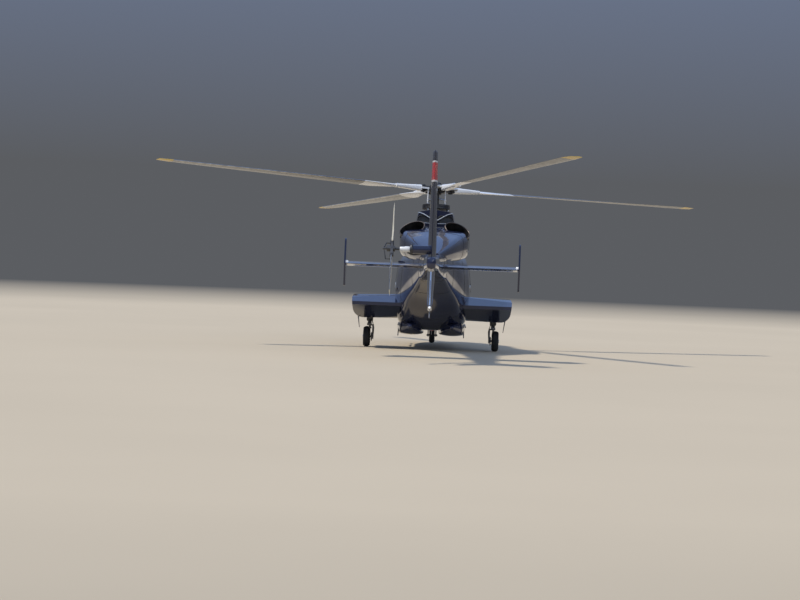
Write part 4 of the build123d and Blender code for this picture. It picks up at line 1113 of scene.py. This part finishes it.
# Exhaust pipes
EXHAUST_PLACE = (-1720, 0.476, 2.567)
EXHAUST_HALF = (0.28, 0.2)
EXHAUST_WALL = 0.014
EXHAUST_FACING = (-0.66, 0.2817, 0.6965)
EXHAUST_ACROSS = (0, 0.927, -0.375)
# How far inside the pipe, and how deep
LINER = ((0.002, -0.012), (0.002, -0.392), (0.012, -0.392), (0.006, -0.012))
PLUG = ((0.012, -0.37), (0.012, -0.38))


def pipe_ring(inset, depth, count=48):
    a, b = (half - EXHAUST_WALL - inset for half in EXHAUST_HALF)
    return oval(a, b, depth, count)


liners, lips = Shape(), Shape()
for side, _ in SIDES:
    facing, across = (
        (ahead, side * left, height) for ahead, left, height in (EXHAUST_FACING, EXHAUST_ACROSS)
    )
    spot = frame_at(spots(side, EXHAUST_PLACE)[0], facing, across)
    liners.rings([pipe_ring(*row) for row in LINER], False, spot, looped=True)
    liners.rings([pipe_ring(*row) for row in PLUG], True, spot)
    lips.tube(pipe_ring(-EXHAUST_WALL / 2, 0, 56), 0.012, 10, looped=True, normal=facing,
              place=spot)
liners.piece("exhaust_liners", "soot")
lips.piece("exhaust_lips", "pipe")


# Outlines of openings on the skin
def rounded_outline(points, radius, steps=6):
    """Side-view outline in metres with its corners rounded."""
    points = [Vector((st(ahead), height * MM)) for ahead, height in points]
    path = []
    for k, corner in enumerate(points):
        before = (points[k - 1] - corner).normalized()
        after = (points[(k + 1) % len(points)] - corner).normalized()
        half = before.angle(after) / 2
        reach = radius / math.tan(half)
        start = corner + before * reach
        end = corner + after * reach
        for i in range(steps + 1):
            t = i / steps
            path.append(start * (1 - t) ** 2 + corner * 2 * t * (1 - t) + end * t * t)
    return path


def divided(path, longest=0.12):
    """The closed path with its long runs divided, so that it follows the skin."""
    made = []
    for k, here in enumerate(path):
        there = path[(k + 1) % len(path)]
        made += between(here, there, max(1, int((there - here).length / longest)))[:-1]
    return made


def on_side(path, side):
    return [Vector((p.x, side * hull.left_at(p.x, p.y), p.y)) for p in path]


CREW_WINDOW = [(2880, 1225), (2880, 1440), (2580, 1860), (1930, 1860), (1930, 1225)]
CABIN_WINDOW = [(1600, 1225), (1600, 1860), (500, 1860), (500, 1225)]
AFT_WINDOW = [(260, 1260), (260, 1850), (-330, 1820), (-430, 1260)]
SEAL_RADIUS = 0.011
WINDOW_ROUND = 0.06


def seal(name, outline, body):
    for side, word in SIDES:
        shape = Shape()
        shape.tube(on_side(divided(rounded_outline(outline, WINDOW_ROUND)), side), SEAL_RADIUS, 8,
                   looped=True, flat=0.5, normal=(0, side, 0.15))
        shape.piece(f"{name}_{word}", "seal", body.format(word))


seal("crew_window_seal", CREW_WINDOW, "crew_door_{}")
seal("cabin_window_seal", CABIN_WINDOW, "cabin_door_{}")
seal("aft_window_seal", AFT_WINDOW, "airframe")

# Windshield edge: over the roof, down the side and round the nose, closed along the centre post
POST_HALF = 0.028
GLASS_EDGE = [(2680, 2010), (3075, 1470), (3330, 1400), (3830, 1400)]
ROOF_EDGE_AHEAD = 2668


def on_top(x, y, proud=0.0):
    return Vector((x, y, hull.height_at(x, y) + proud))


def windshield_edge(side):
    corners = [Vector((st(ahead), height * MM)) for ahead, height in GLASS_EDGE]
    roof, front = st(ROOF_EDGE_AHEAD), corners[-1]
    path = [on_top(roof, side * y)
            for y in between(POST_HALF, hull.left_at(*corners[0]), 8)[:-1]]
    for near, far in zip(corners, corners[1:]):
        path += on_side(between(near, far, 8)[:-1], side)
    path += [on_top(front.x, side * y) for y in between(hull.left_at(*front), POST_HALF, 7)]
    return path + [on_top(x, side * POST_HALF) for x in between(front.x, roof, 14)[1:-1]]


edges, wipers = Shape(), Shape()
for side, _ in SIDES:
    edges.tube(windshield_edge(side), 0.012, 8, looped=True, flat=0.6)
    foot = on_top(st(3790), side * 0.12, 0.015)
    tip = on_top(st(3150), side * 0.3, 0.02)
    middle = on_top(*((foot + tip) / 2).xy, 0.035)
    wipers.tube([foot, middle, tip], 0.007, 8)
    wipers.tube([on_top(st(2900 + 60 * k), side * (0.36 - 0.014 * k), 0.01) for k in range(9)],
                0.008, 8)
    wipers.lathe([(0.0, -0.02), (0.024, -0.02), (0.02, 0.02), (0, 0.024)], at(*foot), 16)
edges.piece("windshield_seal", "seal")
wipers.piece("wipers", "seal")

# Door handles and their recesses, and steps
HANDLE_HEIGHT = 1.06
for kind, ahead in (("crew", 1930), ("cabin", 490)):
    for side, word in SIDES:
        handle = Shape()
        y = hull.left_at(st(ahead), HANDLE_HEIGHT)
        handle.lathe([(0, -0.004), (0.045, -0.004), (0.045, 0.006), (0.04, 0.01), (0, 0.01)],
                     frame_at((st(ahead), side * y, HANDLE_HEIGHT), (0, side, 0)), 28)
        handle.tube(spots(side, (ahead - 50, y + 0.012, HANDLE_HEIGHT),
                          (ahead - 20, y + 0.024, HANDLE_HEIGHT),
                          (ahead + 100, y + 0.02, HANDLE_HEIGHT)), 0.012, 10, flat=0.6)
        handle.piece(f"{kind}_door_handle_{word}", "bright", f"{kind}_door_{word}")
LATCH_HEIGHT = 1.29
latch, steps = Shape(), Shape()
latch_x = st(-1035)
latch.box((0, 0, 0.006), (0.16, 0.05, 0.02),
          frame_at((latch_x, hull.left_at(latch_x, LATCH_HEIGHT), LATCH_HEIGHT), (0, 1, 0)))
latch.piece("baggage_door_latch", "bright", "baggage_door")
for side, _ in SIDES:
    for rear, front in ((1900, 2500), (560, 1560)):
        skin = hull.left_at(st(rear), 0.5)
        steps.tube(spots(side, (rear, skin - 0.03, 0.52), (rear, skin + 0.1, 0.47),
                         (front, skin + 0.1, 0.47), (front, skin - 0.03, 0.52)), 0.02, 12)
steps.piece("boarding_steps", "gear")

# Seams, latches and caps on the skins
SEAM = 0.0035
# Skin, ahead of the mast, angles from the top
RING_SEAMS = [
    (hull, 4380, 0, 180), (hull, 3900, 0, 180), (hull, -1500, 45, 180), (hull, -2400, 30, 180),
    (boom, -3060, 0, 180), (boom, -4500, 0, 180), (boom, -6200, 0, 180), (boom, -7500, 0, 180),
    (cowl, 150, 0, 125), (cowl, -900, 0, 125), (cowl, -2050, 0, 125), (pylon, 1500, 0, 100),
    (pylon, 700, 0, 100),
]
# Skin, height, front and rear ahead of the mast
LONG_SEAMS = [(cowl, 2.1, 380, -2300), (hull, 1.08, 4300, 3100), (hull, 1.7, -1450, -2350)]
# Skin, height, places ahead of the mast
LATCHES = [(cowl, 2.13, (100, -300, -700, -1200, -1700)), (hull, 1.11, (4150, 3990))]
# Ahead of the mast, height, radius
CAPS = [(-560, 1.35, 0.05), (3620, 0.98, 0.018), (3680, 0.98, 0.018)]
seams, latches, caps = Shape(), Shape(), Shape()
for side, _ in SIDES:
    for skin, ahead, low_deg, high_deg in RING_SEAMS:
        seams.tube(skin.ring_at(st(ahead), low_deg, high_deg, side), SEAM, 6, flat=0.8,
                   normal=(1, 0, 0))
    for skin, height, front, rear in LONG_SEAMS:
        seams.tube([(x, side * skin.left_at(x, height), height)
                    for x in between(st(front), st(rear), 30)], SEAM, 6, flat=0.8)
    for skin, height, places in LATCHES:
        for x in map(st, places):
            latches.box((0, 0, 0.002), (0.07, 0.028, 0.012),
                        frame_at((x, side * skin.left_at(x, height), height), (0, side, 0.1)))
    for ahead, height, radius in CAPS:
        x = st(ahead)
        caps.lathe([(radius * 1.25, -0.01), (radius * 1.25, 0.003), (radius, 0.006),
                    (radius * 0.9, 0.003), (0, 0.003)],
                   frame_at((x, side * hull.left_at(x, height), height), (0, side, 0)), 28)
seams.piece("panel_seams", "seal")
latches.piece("cowl_latches", "bright")
caps.piece("filler_caps_and_ports", "metal")

# Intake screens
INTAKE_PLACE = (395, 0.56, 2.27)
INTAKE_HALF = (0.08, 0.15)
grilles = Shape()
for side, _ in SIDES:
    a, b = (1.1 * half for half in INTAKE_HALF)
    grilles.rings([oval(a, b, z, 36) for z in (-0.03, -0.02)], True,
                  frame_at(spots(side, INTAKE_PLACE)[0], (1, 0, 0), (0, side, 0)))
grilles.piece("intake_screens", "screen")

# Outlet lips at the aft end of the pylon
OUTLET_LEFT = 0.215
OUTLET_HEIGHT = 2.795
OUTLET_HALF = 0.165
OUTLET_ROUND = 0.075
V_LIP = [(0.37, 2.925), (0.33, 2.922), (0.26, 2.9), (0.17, 2.85), (0.09, 2.8), (0.03, 2.77)]
LOW_LIP = [(0.37, 2.7), (0.2, 2.708), (0.05, 2.7)]
outlet_edges, outlet_ribs, inside = Shape(), Shape(), Shape()
for side, _ in SIDES:
    path = [
        (-752, OUTLET_LEFT + end * (OUTLET_HALF - OUTLET_ROUND) + OUTLET_ROUND * math.cos(turn),
         OUTLET_HEIGHT + OUTLET_ROUND * math.sin(turn))
        for end in (1, -1)
        for turn in between(-end * math.pi / 2, math.pi - end * math.pi / 2, 12)
    ]
    outlet_edges.tube(spots(side, *path), 0.01, 8, looped=True, normal=(1, 0, 0))
    for lip, radius in ((V_LIP, 0.013), (LOW_LIP, 0.008)):
        outlet_ribs.tube(spots(side, *((-760, y, z) for y, z in lip)), radius, 8,
                         normal=(1, 0, 0))
    inside.box(spots(side, (-715, OUTLET_LEFT, OUTLET_HEIGHT))[0], (0.02, 0.32, 0.16))
outlet_edges.tube(spots(1, (-756, 0, 2.66), (-762, 0, 2.76), (-756, 0, 2.93)), 0.03, 12, flat=0.5,
                  normal=(1, 0, 0))
outlet_edges.piece("outlet_edges", "seal")
outlet_ribs.piece("outlet_ribs", "metal")
inside.piece("outlet_screens", "screen")

# Antennas and probes: ahead of the mast, left, heights of root and tip, length, backward lean
ANTENNAS = [
    (2100, 0.0, hull.height_at(st(2100), 0) - 0.02, 2.3, 0.2, 0.07),
    (-3700, 0.09, boom.height_at(st(-3700), 0.09) - 0.03, 2.26, 0.22, 0.09),
    (-5900, -0.02, 1.66, 1.5, 0.2, 0.08),
    (900, 0.0, 0.41, 0.27, 0.18, 0.06),
]
fittings = Shape()
for ahead, left, root, tip, length, lean in ANTENNAS:
    fittings.rings([
        [(st(ahead) - lean * t + x, left + y, z)
         for x, y, z in oval(length * (1 - 0.45 * t) / 2, 0.008, root + (tip - root) * t, 14)]
        for t in between(0, 1, 4)
    ])
for side, _ in SIDES:
    fittings.tube(spots(side, (-900, 0.68, 0.46), (-960, 0.7, 0.36), (-1060, 0.7, 0.29)), 0.011, 8)
    skin = hull.left_at(st(4180), 1.22)
    fittings.tube(spots(side, (4180, skin - 0.02, 1.22), (4210, skin + 0.07, 1.2),
                        (4230, skin + 0.09, 1.19), (4480, skin + 0.09, 1.18)), 0.014, 12)
fittings.tube(spots(1, (-8050, 0, 1.0), (-8190, 0, 0.9), (-8420, 0, 0.87)), 0.012, 12)
fittings.piece("antennas_and_probes", "gear")

# Lamps: ahead of the mast, left, height, facing, radius, material, length
NAV_LAMP_LEFT = 1.669
LAMPS = {
    "nav_lamp_left": (-5560, NAV_LAMP_LEFT, 1.83, (-1, 0, 0), 0.03, "white_lamp", 0.05),
    "nav_lamp_right": (-5560, -NAV_LAMP_LEFT, 1.83, (-1, 0, 0), 0.03, "white_lamp", 0.05),
    "fin_beacon": (-8640, 0.0, FIN_TOP - 0.06, (0, 0, 1), 0.028, "red_lamp", 0.05),
    "belly_beacon": (1500, 0.0, 0.4, (0, 0, -1), 0.05, "red_lamp", 0.07),
    "landing_lamp": (3080, 0.0, 0.465, (0.25, 0, -1), 0.085, "white_lamp", 0.03),
    "tail_lamp": (-8415, 0.0, 1.06, (-1, 0, -0.2), 0.022, "white_lamp", 0.04),
    "aft_belly_lamp": (-1640, 0.0, 0.79, (-0.75, 0, -0.6), 0.05, "white_lamp", 0.015),
}
for name, (ahead, left, height, facing, radius, material, length) in LAMPS.items():
    spot = frame_at((st(ahead), left, height), facing)
    dome, base = Shape(), Shape()
    dome.lathe([(radius, 0.0), (radius * 0.97, length * 0.3), (radius * 0.75, length * 0.7),
                (radius * 0.4, length * 0.93), (0, length)], spot, 24)
    dome.piece(name, material)
    base.lathe([(radius * 1.25, -0.02), (radius * 1.25, 0.004), (radius, 0.008), (0, 0.008)],
               spot, 24)
    base.piece(f"{name}_ring", "metal")

# Polished guard along the ventral fin's trailing edge: height, ahead of the mast, half thickness
GUARD = [(1.72, -8140, 0.012), (1.5, -8224, 0.014), (1.25, -8322, 0.014), (1.1, -8384, 0.012)]
guard = Shape()
guard.rings([
    [(st(rear) - 0.004, -half, z), (st(rear) - 0.004, half, z),
     (st(rear) + 0.05, half * 1.6, z), (st(rear) + 0.05, -half * 1.6, z)]
    for z, rear, half in GUARD
])
guard.piece("ventral_fin_guard", "bright")

# Landing gear
GEAR_X = st(-400)
TRACK_HALF = 1.385
LEG_LEFT = TRACK_HALF - 0.055
CALIPER_LEFT = TRACK_HALF - 0.113
KNEE = (GEAR_X - 0.15, 0.5)
struts, discs, hoses = Shape(), Shape(), Shape()
for side, word in SIDES:
    leg = side * LEG_LEFT
    inner = side * CALIPER_LEFT
    struts.lathe([(0.062, 0.57), (0.07, 0.575), (0.07, 0.62), (0.0625, 0.625)],
                 at(GEAR_X, leg), 28)
    for height in (0.6, 0.4):
        for shift, radius in ((0, 0.016), (-0.035, 0.012)):
            struts.tube([(GEAR_X - 0.055, leg + shift, height), (KNEE[0], leg, KNEE[1])], radius, 10)
    struts.lathe(bead(0, (0, 0.05), (0.022, 0.048)), frame_at((KNEE[0], leg, KNEE[1]), (0, 1, 0)), 16)
    discs.box((0, 0, 0), (0.1, 0.07, 0.05), frame_at((GEAR_X - 0.07, inner, 0.26), (0, side, 0)))
    hoses.tube([(GEAR_X - 0.07, inner - side * 0.03, 0.28),
                (GEAR_X - 0.11, inner - side * 0.04, 0.42),
                (GEAR_X - 0.06, leg - side * 0.06, 0.55),
                (GEAR_X - 0.03, leg - side * 0.065, 0.66)], 0.008, 8, normal=(0, 1, 0))
    nuts = Shape()
    hub = frame_at((GEAR_X, side * TRACK_HALF, 0.22), (0, side, 0))
    nuts.studs(nut(0.009, 0.02, 0.04), hub, 0.085, 8)
    nuts.lathe([(0.045, 0.066), (0.045, 0.078), (0.03, 0.088), (0, 0.09)], hub, 24)
    nuts.piece(f"wheel_bolts_{word}", "bright", f"main_wheel_{word}", sharp=25)
struts.piece("torque_links", "gear")
discs.piece("brake_calipers", "steel")
hoses.piece("brake_pipes", "seal")
nose_x = JOINTS["nose_wheel_roll"]["pos_m"][0]
nose_nuts = Shape()
for side, _ in SIDES:
    nose_nuts.studs(nut(0.008, 0.016, 0.034), frame_at((nose_x, 0, 0.18), (0, side, 0)), 0.068, 6)
nose_nuts.piece("nose_wheel_bolts", "bright", "nose_wheel", sharp=25)
NOSE_BAY_LEFT = 0.15
FLAP_DEEP = 0.12
flaps = Shape()
for side, _ in SIDES:
    rings = []
    for ahead in (3390, 3500, 3620, 3740, 3850):
        x = st(ahead)
        top = hull.height_at(x, NOSE_BAY_LEFT, below=True) + 0.012
        rings.append([(x, side * (NOSE_BAY_LEFT + out), z) for out, z in
                      ((0.004, top), (0.016, top), (0.05, top - FLAP_DEEP),
                       (0.038, top - FLAP_DEEP))])
    flaps.rings(rings)
flaps.piece("nose_gear_flaps", "paint")

# Cabin: seats, panel and controls
FLOOR_TOP = 0.64
CREW_SEATS = [(2280, 0.36, 1), (2280, -0.36, 1)]
CABIN_SEATS = [(60, 0.48, 1), (60, 0, 1), (60, -0.48, 1), (1120, 0.48, -1), (1120, 0, -1),
               (1120, -0.48, -1)]
SEAT_DEPTH = 0.46
SEAT_BASE = 0.26
CUSHION_SIZE = (0.42, 0.41, 0.11)
BACK_SIZE = (0.52, 0.39, 0.09)
BACK_LEAN = 0.16
# Share of the half width, share of the half height
PAD_PROFILE = [
    (0.04, -1), (0.3, -1), (0.55, -1), (0.75, -1), (0.88, -0.97), (0.96, -0.82), (1, -0.4),
    (1, 0), (1, 0.4), (0.96, 0.82), (0.88, 0.97), (0.75, 1), (0.55, 1), (0.3, 1), (0.04, 1),
]
PAD_AROUND = 56
PAD_SQUARE = 0.4
PAD_START = 0.94
PAD_PRESSURE = 4
PAD_FRAMES = 20
PAD_CAP = 0.014
PAD_FORMS = {}
PIPING = 0.004


def pad_form(size):
    """A block with rounded corners and edges, a little smaller than the cushion."""
    shape = Shape()
    half = [part / 2 * PAD_START for part in size]

    def squared(value):
        return math.copysign(abs(value) ** PAD_SQUARE, value)

    shape.rings([
        [(half[0] * reach * squared(x), half[1] * reach * squared(y), half[2] * height)
         for x, y, _ in oval(1, 1, 0, PAD_AROUND)]
        for reach, height in PAD_PROFILE
    ])
    return shape


def swollen(size):
    """The cushion's form, filled by a cloth simulation whose result is kept as plain points."""
    shape = pad_form(size)
    scene = bpy.context.scene
    mesh = bpy.data.meshes.new("pad_cloth")
    mesh.from_pydata([tuple(point) for point in shape.points], [], shape.faces)
    cover = linked("pad_cloth", mesh)
    cloth = cover.modifiers.new("cloth", "CLOTH")
    cloth.settings.quality = 5
    cloth.settings.use_pressure = True
    cloth.settings.uniform_pressure_force = PAD_PRESSURE
    cloth.settings.effector_weights.gravity = 0
    cloth.point_cache.frame_start = 1
    cloth.point_cache.frame_end = PAD_FRAMES
    for number in range(1, PAD_FRAMES + 1):
        scene.frame_set(number)
    filled = cover.evaluated_get(bpy.context.evaluated_depsgraph_get()).to_mesh()
    for i, vertex in enumerate(filled.vertices):
        start = shape.points[i]
        move = vertex.co - start
        if move.length > PAD_CAP:
            move *= PAD_CAP / move.length
        shape.points[i] = start + move
    bpy.data.objects.remove(cover)
    bpy.data.meshes.remove(mesh)
    scene.frame_set(1)
    return shape


def pad(name, place, size):
    """A crowned cushion with piping round its edge and across its two sewn channels."""
    if size not in PAD_FORMS:
        PAD_FORMS[size] = swollen(size)
    form = PAD_FORMS[size]
    shape = Shape().add(form.points, form.faces, place)
    made = shape.piece(name, "leather", sharp=60)
    subdivide = made.modifiers.new("soft", "SUBSURF")
    subdivide.levels = subdivide.render_levels = 1
    rim = PAD_PROFILE.index((0.96, 0.82)) * PAD_AROUND
    piping = Shape()
    piping.tube([place @ form.points[rim + k] for k in range(PAD_AROUND)], PIPING, 6, looped=True)
    top = form.points[rim:]
    reach = size[1] / 2 * PAD_START * 0.93
    for x in (-size[0] / 6, size[0] / 6):
        path = []
        for y in between(-reach, reach, 12):
            near = min(top, key=lambda point: (point.x - x) ** 2 + (point.y - y) ** 2)
            path.append((x, y, near.z))
        piping.tube(path, PIPING, 6, place=place)
    return piping


def seats(label, rows, node):
    frames, belts, piping = Shape(), Shape(), Shape()
    for number, (front, left, facing) in enumerate(rows):
        x_front = st(front)
        x_rear = x_front - facing * SEAT_DEPTH
        x_middle = (x_front + x_rear) / 2
        seat_top = FLOOR_TOP + SEAT_BASE
        frames.box((x_middle, left, seat_top - 0.02), (SEAT_DEPTH - 0.02, 0.42, 0.04))
        for corner_x in (-0.15, 0.15):
            for corner_y in (-0.15, 0.15):
                frames.tube([(x_middle + corner_x, left + corner_y, FLOOR_TOP),
                             (x_middle + corner_x * 0.8, left + corner_y, seat_top - 0.02)],
                            0.016, 10)
        lean = Matrix.Rotation(-facing * BACK_LEAN, 4, "Y")
        frames.box((0, 0, 0), (0.03, 0.41, 0.62),
                   at(x_rear - facing * 0.045, left, seat_top + 0.33) @ lean)
        cushion = at(x_middle + facing * 0.03, left, seat_top + 0.05)
        back = (at(x_rear + facing * 0.015, left, seat_top + 0.34) @ lean
                @ turn_by(facing * 90, "Y"))
        for part, place, size in (("cushion", cushion, CUSHION_SIZE), ("back", back, BACK_SIZE)):
            edge = pad(f"{label}_{part}_{number}", place, size)
            piping.add(edge.points, edge.faces)
        for side in (-0.1, 0.1):
            belts.tube([(x_rear + facing * 0.03, left + side * 0.7, seat_top + 0.6),
                        (x_rear + facing * 0.075, left + side, seat_top + 0.34),
                        (x_rear + facing * 0.085, left + side * 1.6, seat_top + 0.12)],
                       0.022, 8, flat=0.12, normal=(facing, 0, 0.1))
    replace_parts(frames.piece(f"{label}_frames", "trim"), node)
    belts.piece(f"{label}_belts", "belt")
    piping.piece(f"{label}_piping", "leather")


seats("crew_seat", CREW_SEATS, "crew_seats")
seats("cabin_seat", CABIN_SEATS, "cabin_seats")

screens, knobs = Shape(), Shape()
for left in (-0.34, -0.12, 0.12, 0.34):
    spot = frame_at((st(2974), left, 1.25), (-1, 0, 0.118), (0, 1, 0))
    screens.box((0, 0, 0.004), (0.19, 0.2, 0.012), spot)
    for i in range(5):
        knobs.lathe(nut(0.008, 0.0, 0.02), spot @ at(-0.07 + 0.035 * i, -0.125), 12)
screens.piece("panel_screens", "dial")
for left in (0.36, -0.36):
    knobs.tube(spots(1, (2480, left, FLOOR_TOP), (2470, left, 0.85), (2420, left, 1.02),
                     (2400, left, 1.14)), 0.014, 12)
    knobs.lathe([(0.018, 1.1), (0.022, 1.14), (0.02, 1.22), (0, 1.23)], at(st(2398), left), 14)
    knobs.tube(spots(1, (1950, left + 0.25, 0.72), (2250, left + 0.25, 0.86)), 0.014, 12)
    for side in (-0.09, 0.09):
        knobs.box((st(2850), left + side, 0.76), (0.03, 0.09, 0.12))
        knobs.tube(spots(1, (2850, left + side, 0.72), (2900, left + side, FLOOR_TOP)), 0.01, 8)
knobs.piece("flight_controls", "trim")

# Floor and light
FLOOR_HALF = 500
FLOOR_NEAR = 34
FLOOR_FAR = 75
FLOOR_COLOUR = (0.52, 0.43, 0.3)
BACKDROP = (0.105, 0.11, 0.12)
OVERHEAD = (0.27, 0.4, 0.72)
WORLD_STRENGTH = 1.0


def make_floor():
    """A pale floor that passes softly into the backdrop's colour far from the aircraft."""
    mesh = bpy.data.meshes.new("floor")
    mesh.from_pydata([(FLOOR_HALF * x, FLOOR_HALF * y, 0)
                      for x, y in ((-1, -1), (1, -1), (1, 1), (-1, 1))], [], [(0, 1, 2, 3)])
    floor = linked("floor", mesh)
    made, tree, shader, place = new_material("floor_finish")
    lighter = tuple(part * 1.05 for part in FLOOR_COLOUR)
    feed(tree, shader, {"Base Color": blotched(tree, place, 0.12, FLOOR_COLOUR, lighter)},
         {"Roughness": 0.9, "Specular IOR Level": 0.1})
    far = add_node(tree, "VectorMath", {0: place})
    far.operation = "LENGTH"
    share = spread(tree, far.outputs["Value"], 0, 1, FLOOR_NEAR, FLOOR_FAR)
    plain = add_node(tree, "Emission", {}, {"Color": (*BACKDROP, 1), "Strength": WORLD_STRENGTH})
    blend = add_node(tree, "MixShader", {0: share, 1: shader.outputs["BSDF"],
                                         2: plain.outputs["Emission"]})
    feed(tree, tree.nodes["Material Output"], {"Surface": blend.outputs["Shader"]})
    mesh.materials.append(made)


def make_lamp(name, towards, strength, spread_deg, colour):
    lamp = linked(name, bpy.data.lights.new(name, "SUN"))
    lamp.data.energy = strength
    lamp.data.angle = math.radians(spread_deg)
    lamp.data.color = colour
    lamp.rotation_mode = "QUATERNION"
    lamp.rotation_quaternion = Vector(towards).to_track_quat("-Z", "Y")


def make_world():
    """A plain backdrop that turns softly to blue overhead."""
    world = bpy.data.worlds.new("studio")
    bpy.context.scene.world = world
    world.use_nodes = True
    tree = world.node_tree
    place = add_node(tree, "TexCoord", {}).outputs["Generated"]
    split = add_node(tree, "SeparateXYZ", {"Vector": place})
    upward = spread(tree, split.outputs["Z"], 0, 1, 0.03, 0.4)
    feed(tree, tree.nodes["Background"], {"Color": mixed(tree, upward, BACKDROP, OVERHEAD)},
         {"Strength": WORLD_STRENGTH})


make_floor()
make_world()
make_lamp("key", (0.3, -0.6, -1.0), 3.0, 4, (1.0, 0.97, 0.92))
make_lamp("fill", (0.9, 0.5, -0.6), 0.5, 40, (0.9, 0.95, 1.0))
bpy.context.scene.view_settings.view_transform = "Standard"
